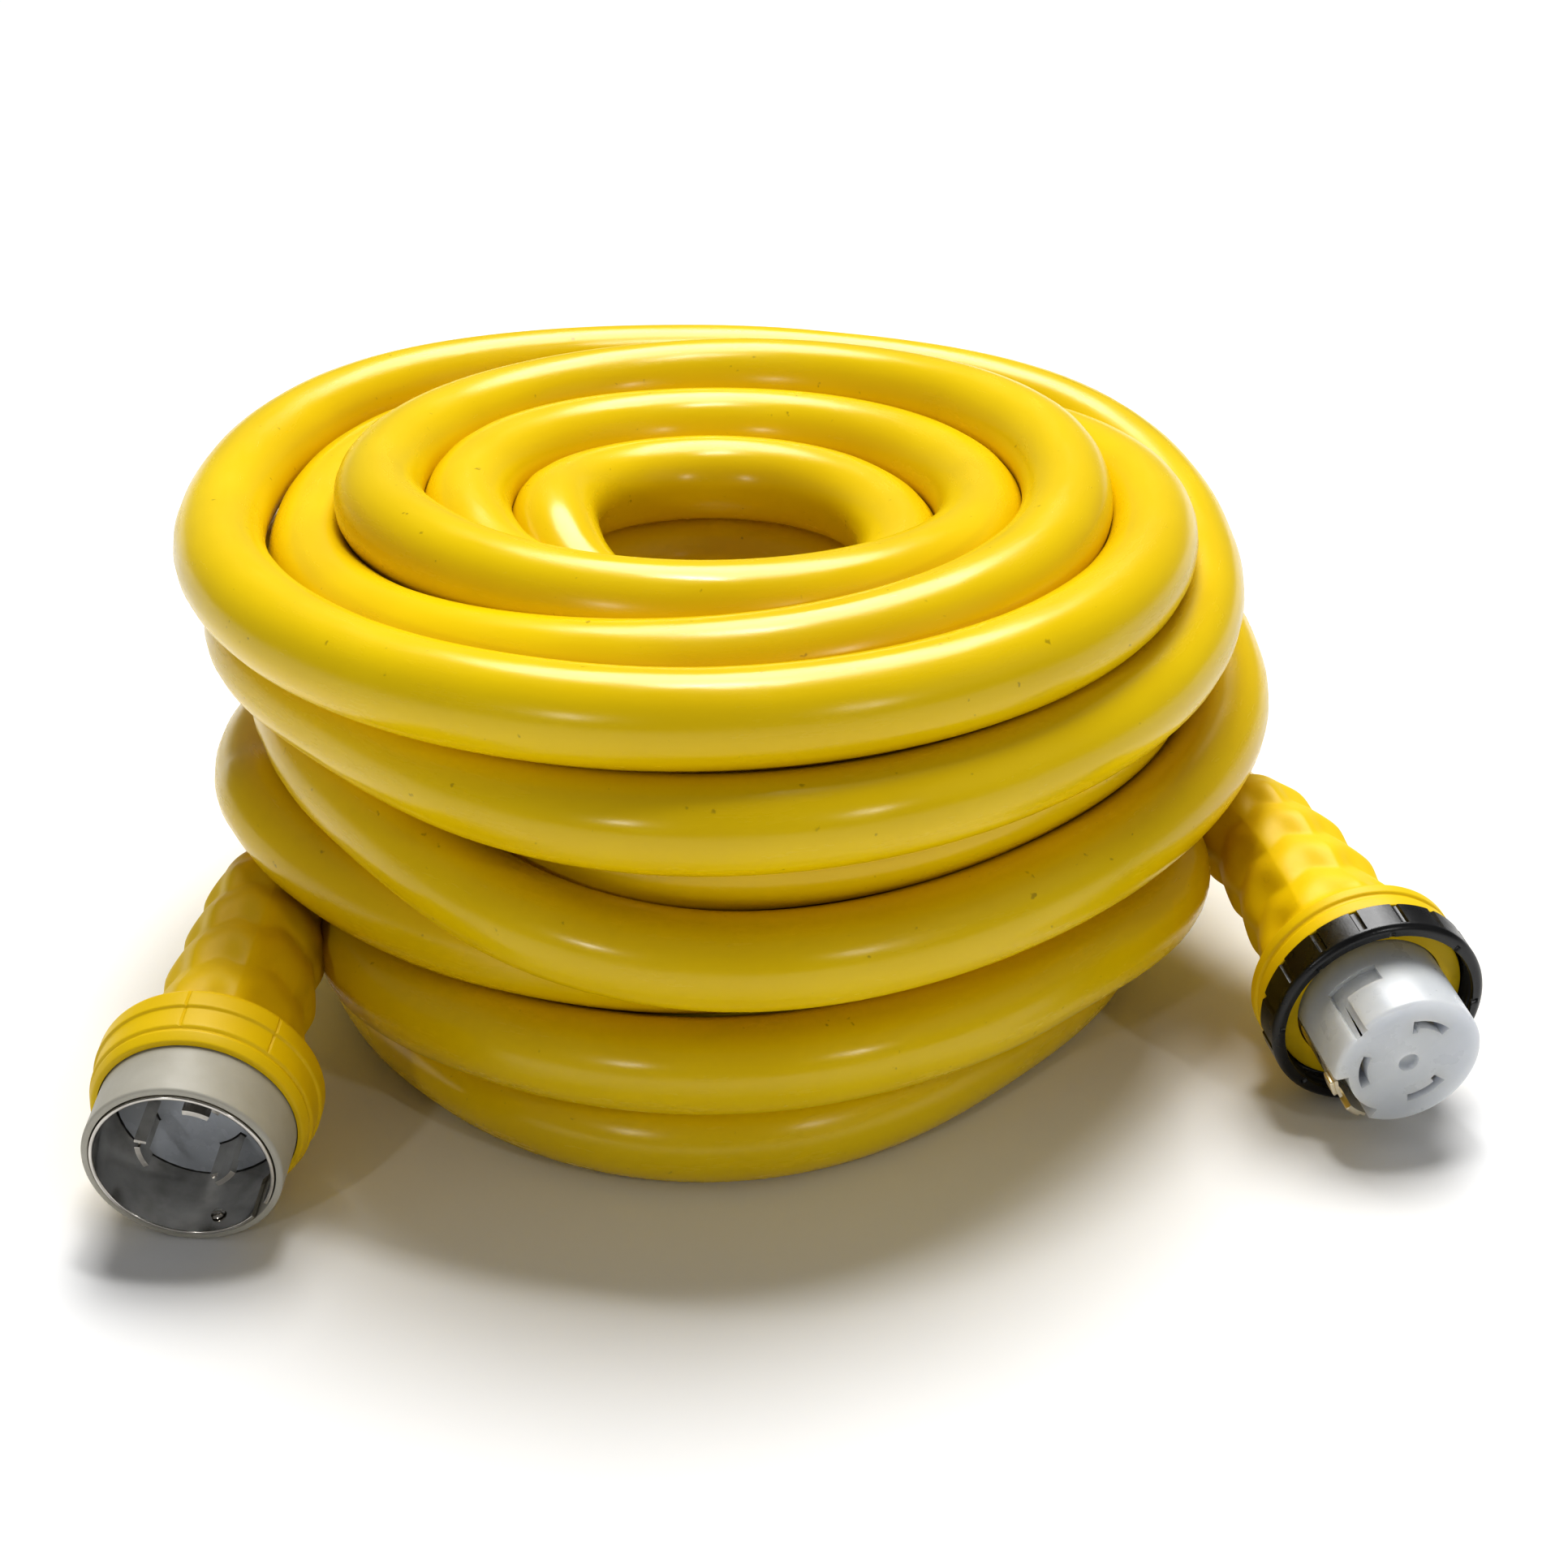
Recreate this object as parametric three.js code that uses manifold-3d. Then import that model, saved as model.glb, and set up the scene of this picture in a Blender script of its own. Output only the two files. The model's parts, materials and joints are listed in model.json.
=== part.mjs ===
// A 50 A shore power cord, coiled for storage: a locking plug, 15 m of cable and a
// female connector with a threaded locking ring. Millimetres, +Z up.
//
// The origin is the bottom centre of the plug and the connector. Each end is built in
// a frame of its own: +Z points out of its front face, +Y is up, and a piece is placed
// by its distance behind that face. The layout frame stands on the coil's own axis.
import * as THREE from 'three';
import { mergeVertices } from 'three/addons/utils/BufferGeometryUtils.js';
import Module from 'manifold-3d';

const wasm = await Module();
wasm.setup();

const deg = THREE.MathUtils.degToRad;
const UP = new THREE.Vector3(0, 0, 1);

// ---- driving dimensions ----------------------------------------------------

const GAP = 0.3;

const CABLE_R = 14;
const CABLE_SIDES = 10;
const ROUND = 36;

const COIL = {
  outerR: 6 * 2 * CABLE_R,
  lowerR: 5.35 * 2 * CABLE_R,
  innerR: 1.5 * 2 * CABLE_R,
  height: 6 * 2 * CABLE_R,
};

const PLUG = {
  front: [-143.9, -181.6],
  yaw: 4,
  bend: { start: 66, length: 44, angle: 3, toward: [-0.4, -1] },
  jacket: 74,
  length: 130,
};

const CONNECTOR = {
  front: [206.9, -129.1],
  yaw: -13,
  pitch: 9,
  bend: { start: 80, length: 40, angle: 11, toward: [-1, -0.25] },
  jacket: 78,
  length: 130,
};

const SHELL = { innerR: 24.8, outerR: 26, length: 35.3, floor: 24 };
const KEY_SLOT = { angle: 323, width: 6.6, depth: 14.6 };
const SLEEVE = { start: 0.6, innerR: 26.3, outerR: 28.4, end: 30 };
const COLLAR = { start: 28, radius: 33 };
const CORE = { radius: 24.5, end: 35 };
const BLADE = { innerR: 13.4, outerR: 15, tip: 7, hook: 5, halfAngle: 15 };
const STEM = { from: -26, to: 7 };
const BLADE_ANGLES = { hot_1: 193, hot_2: 313, neutral: 73 };
const PLUG_GROUND_ANGLE = 270;

const NOSE = { radius: 22.8, length: 46 };
const SLOT = { innerR: 12.8, outerR: 15.6, halfAngle: 24, end: 4 };
const POCKET = { innerR: 11.6, outerR: 16.8 };
const CONTACT = { innerR: 11.9, outerR: 16.5, leaf: 0.9, web: 4, halfAngle: 20, start: 4.5 };
const CONTACT_ANGLES = { hot_1: 187, hot_2: 70, neutral: 302 };
const CONNECTOR_GROUND_ANGLE = 236;
const KEYWAY = { from: 106, turn: 136, to: 148, depth: 1.6, start: 13.7, end: 20 };
const CLIP = { angle: 218, innerR: 21.6, outerR: 22.6, halfAngle: 25, start: 1.2, end: 36 };
const CLIP_RECESS = { innerR: 18.6, halfAngle: 29 };
const SCREW_ANGLES = [20, 140];
const SCREW = { radius: 17.5, shankR: 1.5, headR: 3, tip: 38, headHeight: 1.7 };
const PLATE = { radius: 22.5, start: 46.4, end: 49.2, holeR: 4 };

const RING = { start: 22, end: 33.5, outerR: 33.5, boreR: 29.6, lipR: 27.2, lip: 2.2 };
const RING_NOTCHES = 16;
const NOTCH = { width: 2.4, depth: 0.9, phase: -6 };
const FLANGE = { start: 33.8, end: 44.5, radius: 32.5 };

const CRIMP = { outerR: 3.4, boreR: 2.6, length: 9.4, floor: 2.7 };
const WIRE = { radius: 3.3, spread: 6.2 };

// Each tail's route in the layout frame, after the point where it leaves its boot.
const PLUG_TAIL = [
  [-135.2, -43.4, 48.6],
  [-134.4, -33, 49.7],
  [-132.8, -20, 50.8],
];
const CONNECTOR_TAIL = [
  [168.6, 3.7, 49.5],
  [163.1, 15.5, 50.7],
  [155.6, 29, 51.6],
  [146, 42.5, 52.2],
  [134.4, 55.5, 52.5],
  [121.5, 67.3, 52.6],
  [107.5, 77.6, 52.6],
];

// ---- materials ---------------------------------------------------------------

function finish(color, roughness, metalness = 0) {
  return () => new THREE.MeshStandardMaterial({ color, roughness, metalness });
}

const cableYellow = finish(0xe3c400, 0.32);
const bootYellow = finish(0xe8bd00, 0.5);
const sleeveGrey = finish(0xb9b6aa, 0.6);
const nickel = finish(0xc9c7c2, 0.18, 1);
const coreGrey = finish(0x6b7076, 0.4);
const ringBlack = finish(0x17191c, 0.5);
const noseWhite = finish(0xe6ebef, 0.35);
const brass = finish(0xcdb37c, 0.3, 1);
const copper = finish(0xb87333, 0.35, 1);
const steel = finish(0xb8babc, 0.35, 1);
const wireColours = {
  hot_1: finish(0x1b1b1b, 0.45),
  hot_2: finish(0xb3201c, 0.45),
  neutral: finish(0xe9e9e4, 0.45),
  ground: finish(0x1f7a3a, 0.45),
};

// ---- solids ------------------------------------------------------------------

// One closed surface with shared corners, turned so that its faces point out.
function closed(geometry) {
  const bare = geometry.clone();
  for (const name of Object.keys(bare.attributes)) {
    if (name !== 'position') {
      bare.deleteAttribute(name);
    }
  }
  const merged = mergeVertices(bare, 1e-4);
  const index = [];
  const at = merged.index.array;
  for (let i = 0; i < at.length; i += 3) {
    if (at[i] !== at[i + 1] && at[i + 1] !== at[i + 2] && at[i + 2] !== at[i]) {
      index.push(at[i], at[i + 1], at[i + 2]);
    }
  }
  if (signedVolume(merged.attributes.position, index) < 0) {
    index.reverse();
  }
  merged.setIndex(index);
  return merged;
}

function signedVolume(position, index) {
  const a = new THREE.Vector3();
  const b = new THREE.Vector3();
  const c = new THREE.Vector3();
  let total = 0;
  for (let i = 0; i < index.length; i += 3) {
    a.fromBufferAttribute(position, index[i]);
    b.fromBufferAttribute(position, index[i + 1]);
    c.fromBufferAttribute(position, index[i + 2]);
    total += a.dot(b.cross(c)) / 6;
  }
  return total;
}

function toManifold(geometry) {
  const solid = closed(geometry);
  return new wasm.Manifold(new wasm.Mesh({
    numProp: 3,
    vertProperties: new Float32Array(solid.attributes.position.array),
    triVerts: new Uint32Array(solid.index.array),
  }));
}

function fromManifold(manifold) {
  const mesh = manifold.getMesh();
  const geometry = new THREE.BufferGeometry();
  geometry.setAttribute('position', new THREE.BufferAttribute(mesh.vertProperties, 3));
  geometry.setIndex(new THREE.BufferAttribute(mesh.triVerts, 1));
  return geometry;
}

function cut(body, tools) {
  const start = toManifold(body);
  return fromManifold(tools.reduce((rest, tool) => rest.subtract(toManifold(tool)), start));
}

function join(parts) {
  const solids = parts.map(toManifold);
  return fromManifold(solids.reduce((whole, solid) => whole.add(solid)));
}

// A turned solid from [distance behind the front face, radius] points.
function turned(profile, segments = ROUND) {
  const points = profile.map(([behind, radius]) => new THREE.Vector2(radius, -behind));
  return closed(new THREE.LatheGeometry(points, segments).rotateX(Math.PI / 2));
}

// A turned ring: its profile closes on itself.
function turnedRing(profile, segments = ROUND) {
  return turned([...profile, profile[0]], segments);
}

function extruded(shape, start, end, curveSegments = 12) {
  const options = { depth: end - start, bevelEnabled: false, curveSegments };
  return closed(new THREE.ExtrudeGeometry(shape, options).translate(0, 0, -end));
}

// A curved plate round the axis, from angle `from` to angle `to` in degrees.
function sector(innerR, outerR, from, to, start, end, curveSegments = 5) {
  const shape = new THREE.Shape();
  shape.absarc(0, 0, outerR, deg(from), deg(to), false);
  shape.absarc(0, 0, innerR, deg(to), deg(from), true);
  shape.closePath();
  return extruded(shape, start, end, curveSegments);
}

function disc(radius, holes, start, end, curveSegments = 14) {
  const shape = new THREE.Shape();
  shape.absarc(0, 0, radius, 0, 2 * Math.PI, false);
  for (const hole of holes) {
    const path = new THREE.Path();
    path.absarc(hole.x, hole.y, hole.radius, 0, 2 * Math.PI, true);
    shape.holes.push(path);
  }
  return extruded(shape, start, end, curveSegments);
}

function polar(radius, angle) {
  return { x: radius * Math.cos(deg(angle)), y: radius * Math.sin(deg(angle)) };
}

// A solid tube of the given radius along a smooth route, with flat ends.
function tube(route, radius, steps, sides = CABLE_SIDES) {
  const section = new THREE.Shape();
  for (let i = 0; i < sides; i += 1) {
    const angle = (i / sides) * 2 * Math.PI;
    const x = radius * Math.cos(angle);
    const y = radius * Math.sin(angle);
    if (i === 0) {
      section.moveTo(x, y);
    } else {
      section.lineTo(x, y);
    }
  }
  section.closePath();
  const extrudePath = new THREE.CatmullRomCurve3(route);
  return closed(new THREE.ExtrudeGeometry(section, { steps, extrudePath, bevelEnabled: false }));
}

// Bends the part of a solid that is more than `start` behind the front face round
// an arc of the given length, and leaves it straight after that.
function bent(geometry, { start, length, angle, toward }) {
  const side = new THREE.Vector3(toward[0], toward[1], 0).normalize();
  const across = new THREE.Vector3().crossVectors(UP, side);
  const arcR = length / deg(angle);
  const position = geometry.attributes.position;
  const point = new THREE.Vector3();
  for (let i = 0; i < position.count; i += 1) {
    point.fromBufferAttribute(position, i);
    const along = -point.z - start;
    if (along > 0) {
      const turn = Math.min(along / length, 1) * deg(angle);
      const straight = Math.max(along - length, 0);
      const u = point.dot(side);
      const v = point.dot(across);
      const shift = arcR * (1 - Math.cos(turn)) + straight * Math.sin(turn) + u * Math.cos(turn);
      const back = arcR * Math.sin(turn) + straight * Math.cos(turn) - u * Math.sin(turn);
      point.copy(side).multiplyScalar(shift).addScaledVector(across, v);
      point.z = -start - back;
      position.setXYZ(i, point.x, point.y, point.z);
    }
  }
  return geometry;
}

function node(name, geometry, material) {
  const mesh = new THREE.Mesh(closed(geometry), material());
  mesh.name = name;
  return mesh;
}

// ---- pieces that both ends share -------------------------------------------------

const WIRE_ORDER = ['hot_1', 'hot_2', 'neutral', 'ground'];

function crimps(end, angles, radius, start) {
  return WIRE_ORDER.map((name) => {
    const profile = [
      [0, 0],
      [0, CRIMP.outerR],
      [CRIMP.length, CRIMP.outerR],
      [CRIMP.length, CRIMP.boreR],
      [CRIMP.floor, CRIMP.boreR],
      [CRIMP.floor, 0],
    ];
    const barrel = turned(profile, 12);
    const place = polar(radius, angles[name]);
    barrel.translate(place.x, place.y, -start);
    return node(`${end}_crimp_${name}`, barrel, copper);
  });
}

// Four insulated conductors from the crimps to the cut end of the cable's jacket.
function wires(end, angles, radius, start, jacket, jacketAngles) {
  return WIRE_ORDER.map((name) => {
    const from = polar(radius, angles[name]);
    const to = polar(WIRE.spread, jacketAngles[name]);
    const length = jacket - start;
    const route = [
      new THREE.Vector3(from.x, from.y, -start),
      new THREE.Vector3(from.x, from.y, -start - length * 0.22),
      new THREE.Vector3(to.x, to.y, -start - length * 0.78),
      new THREE.Vector3(to.x, to.y, -jacket),
    ];
    return node(`${end}_wire_${name}`, tube(route, WIRE.radius, 6, 8), wireColours[name]);
  });
}

// A straight stretch of a profile, with a point every 11 mm so that it bends smoothly.
function stretch(start, end, radius) {
  const spans = Math.round((end - start) / 11);
  const points = [];
  for (let i = 0; i <= spans; i += 1) {
    points.push([start + ((end - start) * i) / spans, radius]);
  }
  return points;
}

function jacketEnd(name, start, end, bend) {
  const profile = [[start, 0], ...stretch(start, end, CABLE_R), [end, 0]];
  return node(name, bent(turned(profile, 16), bend), cableYellow);
}

// ---- the plug --------------------------------------------------------------------

function plugBoot() {
  const profile = [
    [18.5, SLEEVE.outerR + GAP],
    [18.5, 30],
    [19.3, 30.6],
    [22.6, 31],
    [23.4, 32.2],
    [COLLAR.start, COLLAR.radius],
    [36.6, COLLAR.radius],
    [38, 32],
    [40.5, 27.5],
    [44, 24.2],
    [49, 22.3],
    [58, 21.6],
    [68, 21.4],
    [79, 20.7],
    [90, 20],
    [101, 19.3],
    [112, 18.5],
    [122, 17.8],
    [127, 17.5],
    [PLUG.length, 16.2],
    ...stretch(PLUG.jacket, PLUG.length, CABLE_R + 2 * GAP).reverse(),
    [PLUG.jacket - 2, 16.5],
    [58, 17],
    [46, 18.6],
    [40, 22.5],
    [37.8, SHELL.outerR + GAP],
    [SLEEVE.end + GAP, SHELL.outerR + GAP],
    [SLEEVE.end + GAP, SLEEVE.outerR + GAP],
  ];
  return node('plug_boot', bent(turnedRing(profile, 28), PLUG.bend), bootYellow);
}

function plugSleeve() {
  const profile = [
    [SLEEVE.start, SLEEVE.innerR],
    [SLEEVE.start, SLEEVE.outerR - 0.7],
    [SLEEVE.start + 0.7, SLEEVE.outerR],
    [SLEEVE.end, SLEEVE.outerR],
    [SLEEVE.end, SLEEVE.innerR],
  ];
  return node('plug_sleeve', turnedRing(profile, 40), sleeveGrey);
}

const RIVET = { angle: 284, behind: 6.5, headR: 2.1, shankR: 1 };

function radialPin(radius, from, to, angle, behind, sides = 14) {
  const pin = new THREE.CylinderGeometry(radius, radius, to - from, sides);
  pin.translate(0, (from + to) / 2, 0);
  pin.rotateZ(deg(angle - 90));
  return closed(pin.translate(0, 0, -behind));
}

// The nickel-plated ground shell, with its key slot and the hole of its stop rivet.
function plugShell() {
  const profile = [
    [0, SHELL.innerR],
    [0, SHELL.outerR],
    [SHELL.length, SHELL.outerR],
    [SHELL.length, SHELL.innerR],
  ];
  const slot = new THREE.BoxGeometry(6, KEY_SLOT.width, 2 * KEY_SLOT.depth);
  slot.translate(SHELL.innerR + 0.6, 0, 0).rotateZ(deg(KEY_SLOT.angle));
  const hole = radialPin(RIVET.shankR + GAP, 22, 28, RIVET.angle, RIVET.behind, 10);
  return node('plug_ground_shell', cut(turnedRing(profile, 40), [slot, hole]), nickel);
}

function shellRivet() {
  const head = radialPin(RIVET.headR, 23.4, 24.5, RIVET.angle, RIVET.behind);
  const shank = radialPin(RIVET.shankR, 24.2, 25.9, RIVET.angle, RIVET.behind, 10);
  return node('plug_shell_rivet', join([head, shank]), nickel);
}

function plugCore() {
  const body = disc(CORE.radius, [], SHELL.floor, CORE.end, 18);
  const slots = Object.values(BLADE_ANGLES).map((angle) => {
    const from = angle + STEM.from - 1.5;
    const to = angle + STEM.to + 1.5;
    const inner = BLADE.innerR - GAP;
    const outer = BLADE.outerR + GAP;
    return sector(inner, outer, from, to, SHELL.floor - 1, CORE.end + 1);
  });
  return node('plug_core', cut(body, slots), coreGrey);
}

// A curved locking blade: its tip sits further round than its stem, as a hook.
function blade(name, angle) {
  const { innerR, outerR, tip, hook, halfAngle } = BLADE;
  const neck = tip + hook;
  const stem = sector(innerR, outerR, angle + STEM.from, angle + STEM.to, neck - 1, CORE.end + 1);
  const head = sector(innerR, outerR, angle - halfAngle, angle + halfAngle, tip, neck);
  return node(`plug_blade_${name}`, join([stem, head]), nickel);
}

function groundStrap() {
  const strap = new THREE.BoxGeometry(7, 16.6, 1.4).translate(0, -17.4, -36.4);
  return node('plug_ground_strap', strap, brass);
}

function plug() {
  const group = new THREE.Group();
  const crimpAngles = { ...BLADE_ANGLES, ground: PLUG_GROUND_ANGLE };
  const jacketAngles = { hot_1: 185, hot_2: 355, neutral: 90, ground: 270 };
  const crimpStart = 37.4;
  const wireStart = crimpStart + CRIMP.length + GAP;
  group.add(
    plugBoot(),
    plugSleeve(),
    plugShell(),
    shellRivet(),
    plugCore(),
    ...Object.entries(BLADE_ANGLES).map(([name, angle]) => blade(name, angle)),
    groundStrap(),
    ...crimps('plug', crimpAngles, 12.6, crimpStart),
    ...wires('plug', crimpAngles, 12.6, wireStart, PLUG.jacket - GAP, jacketAngles),
    jacketEnd('plug_cable_end', PLUG.jacket, PLUG.length, PLUG.bend),
  );
  return group;
}

// ---- the connector -----------------------------------------------------------------

function connectorBoot() {
  const profile = [
    [29.3, NOSE.radius + GAP],
    [29.3, 28.6],
    [29.8, 29.1],
    [31, 29.1],
    [31, 26.8],
    [FLANGE.start, 26.8],
    [FLANGE.start, 31.8],
    [34.5, FLANGE.radius],
    [38.6, FLANGE.radius],
    [39.2, 31.8],
    [40.2, 31.8],
    [40.8, FLANGE.radius],
    [43.8, FLANGE.radius],
    [FLANGE.end, 31.8],
    [49, 27.6],
    [54, 24.6],
    [60, 22.6],
    [70, 21.7],
    [80, 20.9],
    [90, 20.1],
    [100, 19.4],
    [111, 18.6],
    [122, 17.8],
    [127, 17.5],
    [CONNECTOR.length, 16.2],
    ...stretch(CONNECTOR.jacket, CONNECTOR.length, CABLE_R + 2 * GAP).reverse(),
    [CONNECTOR.jacket - 2, 16.5],
    [60, 18],
    [54, 21],
    [51.8, NOSE.radius + GAP],
  ];
  return node('connector_boot', bent(turnedRing(profile, 28), CONNECTOR.bend), bootYellow);
}

function lockingRing() {
  const { start, end, outerR, boreR, lipR, lip } = RING;
  const profile = [
    [start, boreR],
    [start, outerR - 0.7],
    [start + 0.7, outerR],
    [end - 0.7, outerR],
    [end, outerR - 0.7],
    [end, lipR],
    [end - lip, lipR],
    [end - lip, boreR],
  ];
  const notches = [];
  for (let i = 0; i < RING_NOTCHES; i += 1) {
    const notch = new THREE.BoxGeometry(2 * NOTCH.depth, NOTCH.width, end - start - 2);
    notch.translate(outerR, 0, -(start + end) / 2 - 2);
    notch.rotateZ(deg(NOTCH.phase + (i / RING_NOTCHES) * 360));
    notches.push(notch);
  }
  return node('locking_ring', cut(turnedRing(profile, 48), notches), ringBlack);
}

function connectorNose() {
  const { radius, length } = NOSE;
  const body = turned([
    [0, 0],
    [0, radius - 1.4],
    [0.5, radius - 0.5],
    [1.6, radius],
    [length, radius],
    [length, 0],
  ], 48);
  const past = 1;
  const slots = Object.values(CONTACT_ANGLES).flatMap((angle) => {
    const from = angle - SLOT.halfAngle;
    const to = angle + SLOT.halfAngle;
    return [
      sector(SLOT.innerR, SLOT.outerR, from, to, -past, SLOT.end + past),
      sector(POCKET.innerR, POCKET.outerR, from, to, SLOT.end, length + past),
    ];
  });
  const centre = turned([[-past, 0], [-past, 3.2], [2.4, 3.2], [2.4, 0]], 16);
  const keyR = radius - KEYWAY.depth;
  const lead = sector(keyR, radius + past, KEYWAY.turn, KEYWAY.to, -past, KEYWAY.end);
  const turn = sector(keyR, radius + past, KEYWAY.from, KEYWAY.to, KEYWAY.start, KEYWAY.end);
  const recess = sector(
    CLIP_RECESS.innerR,
    radius + past,
    CLIP.angle - CLIP_RECESS.halfAngle,
    CLIP.angle + CLIP_RECESS.halfAngle,
    -past,
    CLIP.end + 1,
    8,
  );
  const holes = SCREW_ANGLES.map((angle) => {
    const place = polar(SCREW.radius, angle);
    const reach = SCREW.tip - 1;
    const holeR = SCREW.shankR + GAP;
    const hole = turned([[reach, 0], [reach, holeR], [length + past, holeR], [length + past, 0]], 10);
    return hole.translate(place.x, place.y, 0);
  });
  const tools = [...slots, centre, lead, turn, recess, ...holes];
  return node('connector_nose', cut(body, tools), noseWhite);
}

// A socket contact: two curved leaves with room for a blade between them, joined
// by a web at the back.
function contact(name, angle) {
  const { innerR, outerR, leaf, web, halfAngle, start } = CONTACT;
  const from = angle - halfAngle;
  const to = angle + halfAngle;
  const whole = sector(innerR, outerR, from, to, start, NOSE.length);
  const room = sector(innerR + leaf, outerR - leaf, from - 5, to + 5, start - 1, NOSE.length - web);
  return node(`connector_contact_${name}`, cut(whole, [room]), brass);
}

// The spring ground contact: a curved leaf with two fingers at its front.
function groundClip() {
  const { angle, innerR, outerR, halfAngle, start, end } = CLIP;
  const leaf = sector(innerR, outerR, angle - halfAngle, angle + halfAngle, start, end, 8);
  const window = sector(innerR - 1, outerR + 2, angle - 7, angle + 7, start - 1, 9, 4);
  const bumps = [-16, 16].map((offset) => {
    const from = angle + offset - 6;
    return sector(outerR - 0.3, outerR + 0.9, from, from + 12, 2.2, 6.4, 4);
  });
  return node('ground_clip', cut(join([leaf, ...bumps]), [window]), brass);
}

function backPlate(crimpAngles) {
  const wireHoles = Object.values(crimpAngles).map((angle) => ({
    ...polar(14, angle),
    radius: PLATE.holeR,
  }));
  const screwHoles = SCREW_ANGLES.map((angle) => ({
    ...polar(SCREW.radius, angle),
    radius: SCREW.shankR + GAP,
  }));
  const plate = disc(PLATE.radius, [...wireHoles, ...screwHoles], PLATE.start, PLATE.end, 8);
  return node('connector_back_plate', plate, noseWhite);
}

function coreScrews() {
  const seat = PLATE.end + GAP;
  return SCREW_ANGLES.map((angle, i) => {
    const place = polar(SCREW.radius, angle);
    const screw = turned([
      [SCREW.tip, 0],
      [SCREW.tip, SCREW.shankR],
      [seat, SCREW.shankR],
      [seat, SCREW.headR],
      [seat + SCREW.headHeight, SCREW.headR - 0.5],
      [seat + SCREW.headHeight, 0],
    ], 12);
    screw.translate(place.x, place.y, 0);
    return node(`connector_core_screw_${i + 1}`, screw, steel);
  });
}

function connector() {
  const group = new THREE.Group();
  const crimpAngles = { ...CONTACT_ANGLES, ground: CONNECTOR_GROUND_ANGLE };
  const jacketAngles = { hot_1: 165, hot_2: 75, neutral: 345, ground: 255 };
  const crimpStart = NOSE.length + 2 * GAP;
  const wireStart = crimpStart + CRIMP.length + GAP;
  group.add(
    connectorBoot(),
    lockingRing(),
    connectorNose(),
    ...Object.entries(CONTACT_ANGLES).map(([name, angle]) => contact(name, angle)),
    groundClip(),
    backPlate(crimpAngles),
    ...coreScrews(),
    ...crimps('connector', crimpAngles, 14, crimpStart),
    ...wires('connector', crimpAngles, 14, wireStart, CONNECTOR.jacket - GAP, jacketAngles),
    jacketEnd('connector_cable_end', CONNECTOR.jacket, CONNECTOR.length, CONNECTOR.bend),
  );
  return group;
}

// ---- the cable -------------------------------------------------------------------

// The coil's outer shape. Its lower turns are wound tighter than its upper ones.
function coilRing() {
  const { outerR, lowerR, innerR, height } = COIL;
  const points = [
    [innerR + 8, 0],
    [lowerR - 6, 0],
    [lowerR, 5],
    [lowerR, height * 0.36],
    [outerR, height * 0.47],
    [outerR, height * 0.86],
    [outerR - 12, height * 0.97],
    [outerR - 34, height],
    [innerR + 14, height * 0.99],
    [innerR, height * 0.92],
    [innerR, height * 0.7],
    [innerR + 8, height * 0.55],
  ];
  return turnedRing(points.map(([radius, z]) => [-z, radius]), 40);
}

// The space that a boot and its tail take out of the coil's side.
function bootSpace(end, start) {
  const space = turned([
    [start, 0],
    [start, 24],
    [end.length * 0.6, 22.5],
    [end.length + 1, 19],
    [end.length + 1, 0],
  ], 24);
  return bent(space, end.bend);
}

function tailRoute(exit, points) {
  return [exit, ...points.map((point) => new THREE.Vector3(...point))];
}

// ---- assembly --------------------------------------------------------------------

// Points a group's +Z out of its front face, `yaw` degrees off -Y and `pitch` down.
function aim(group, front, height, yaw, pitch) {
  const outward = new THREE.Vector3(
    -Math.sin(deg(yaw)) * Math.cos(deg(pitch)),
    -Math.cos(deg(yaw)) * Math.cos(deg(pitch)),
    -Math.sin(deg(pitch)),
  );
  const right = new THREE.Vector3().crossVectors(UP, outward).normalize();
  const up = new THREE.Vector3().crossVectors(outward, right);
  const basis = new THREE.Matrix4().makeBasis(right, up, outward);
  group.quaternion.setFromRotationMatrix(basis);
  group.position.set(front[0], front[1], height);
  group.updateMatrixWorld(true);
}

// Where the cable leaves a boot, in the layout frame.
function exitOf(group, end) {
  const point = bent(new THREE.BufferGeometry().setAttribute(
    'position',
    new THREE.Float32BufferAttribute([0, 0, -end.length - GAP], 3),
  ), end.bend);
  return new THREE.Vector3().fromBufferAttribute(point.attributes.position, 0)
    .applyMatrix4(group.matrixWorld);
}

function lowest(group) {
  return new THREE.Box3().setFromObject(group, true).min.z;
}

const plugGroup = plug();
const rise = COLLAR.radius - SLEEVE.outerR;
const plugPitch = THREE.MathUtils.radToDeg(Math.atan(rise / (COLLAR.start - SLEEVE.start)));
aim(plugGroup, PLUG.front, 0, PLUG.yaw, plugPitch);
aim(plugGroup, PLUG.front, -lowest(plugGroup), PLUG.yaw, plugPitch);

const connectorGroup = connector();
aim(connectorGroup, CONNECTOR.front, 0, CONNECTOR.yaw, CONNECTOR.pitch);
aim(
  connectorGroup,
  CONNECTOR.front,
  -lowest(connectorGroup),
  CONNECTOR.yaw,
  CONNECTOR.pitch,
);

const plugRoute = tailRoute(exitOf(plugGroup, PLUG), PLUG_TAIL);
const connectorRoute = tailRoute(exitOf(connectorGroup, CONNECTOR), CONNECTOR_TAIL);

// The channels run a gap past the tails' ends, and stand off their sides.
function channel(route, steps) {
  const last = route[route.length - 1];
  const before = route[route.length - 2];
  const further = last.clone().add(last.clone().sub(before).setLength(GAP));
  return tube([...route.slice(0, -1), further], CABLE_R + 2 * GAP, steps);
}

const coil = cut(coilRing(), [
  bootSpace(PLUG, 60).applyMatrix4(plugGroup.matrixWorld),
  bootSpace(CONNECTOR, 80).applyMatrix4(connectorGroup.matrixWorld),
  channel(plugRoute, 3),
  channel(connectorRoute, 7),
]);

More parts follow.
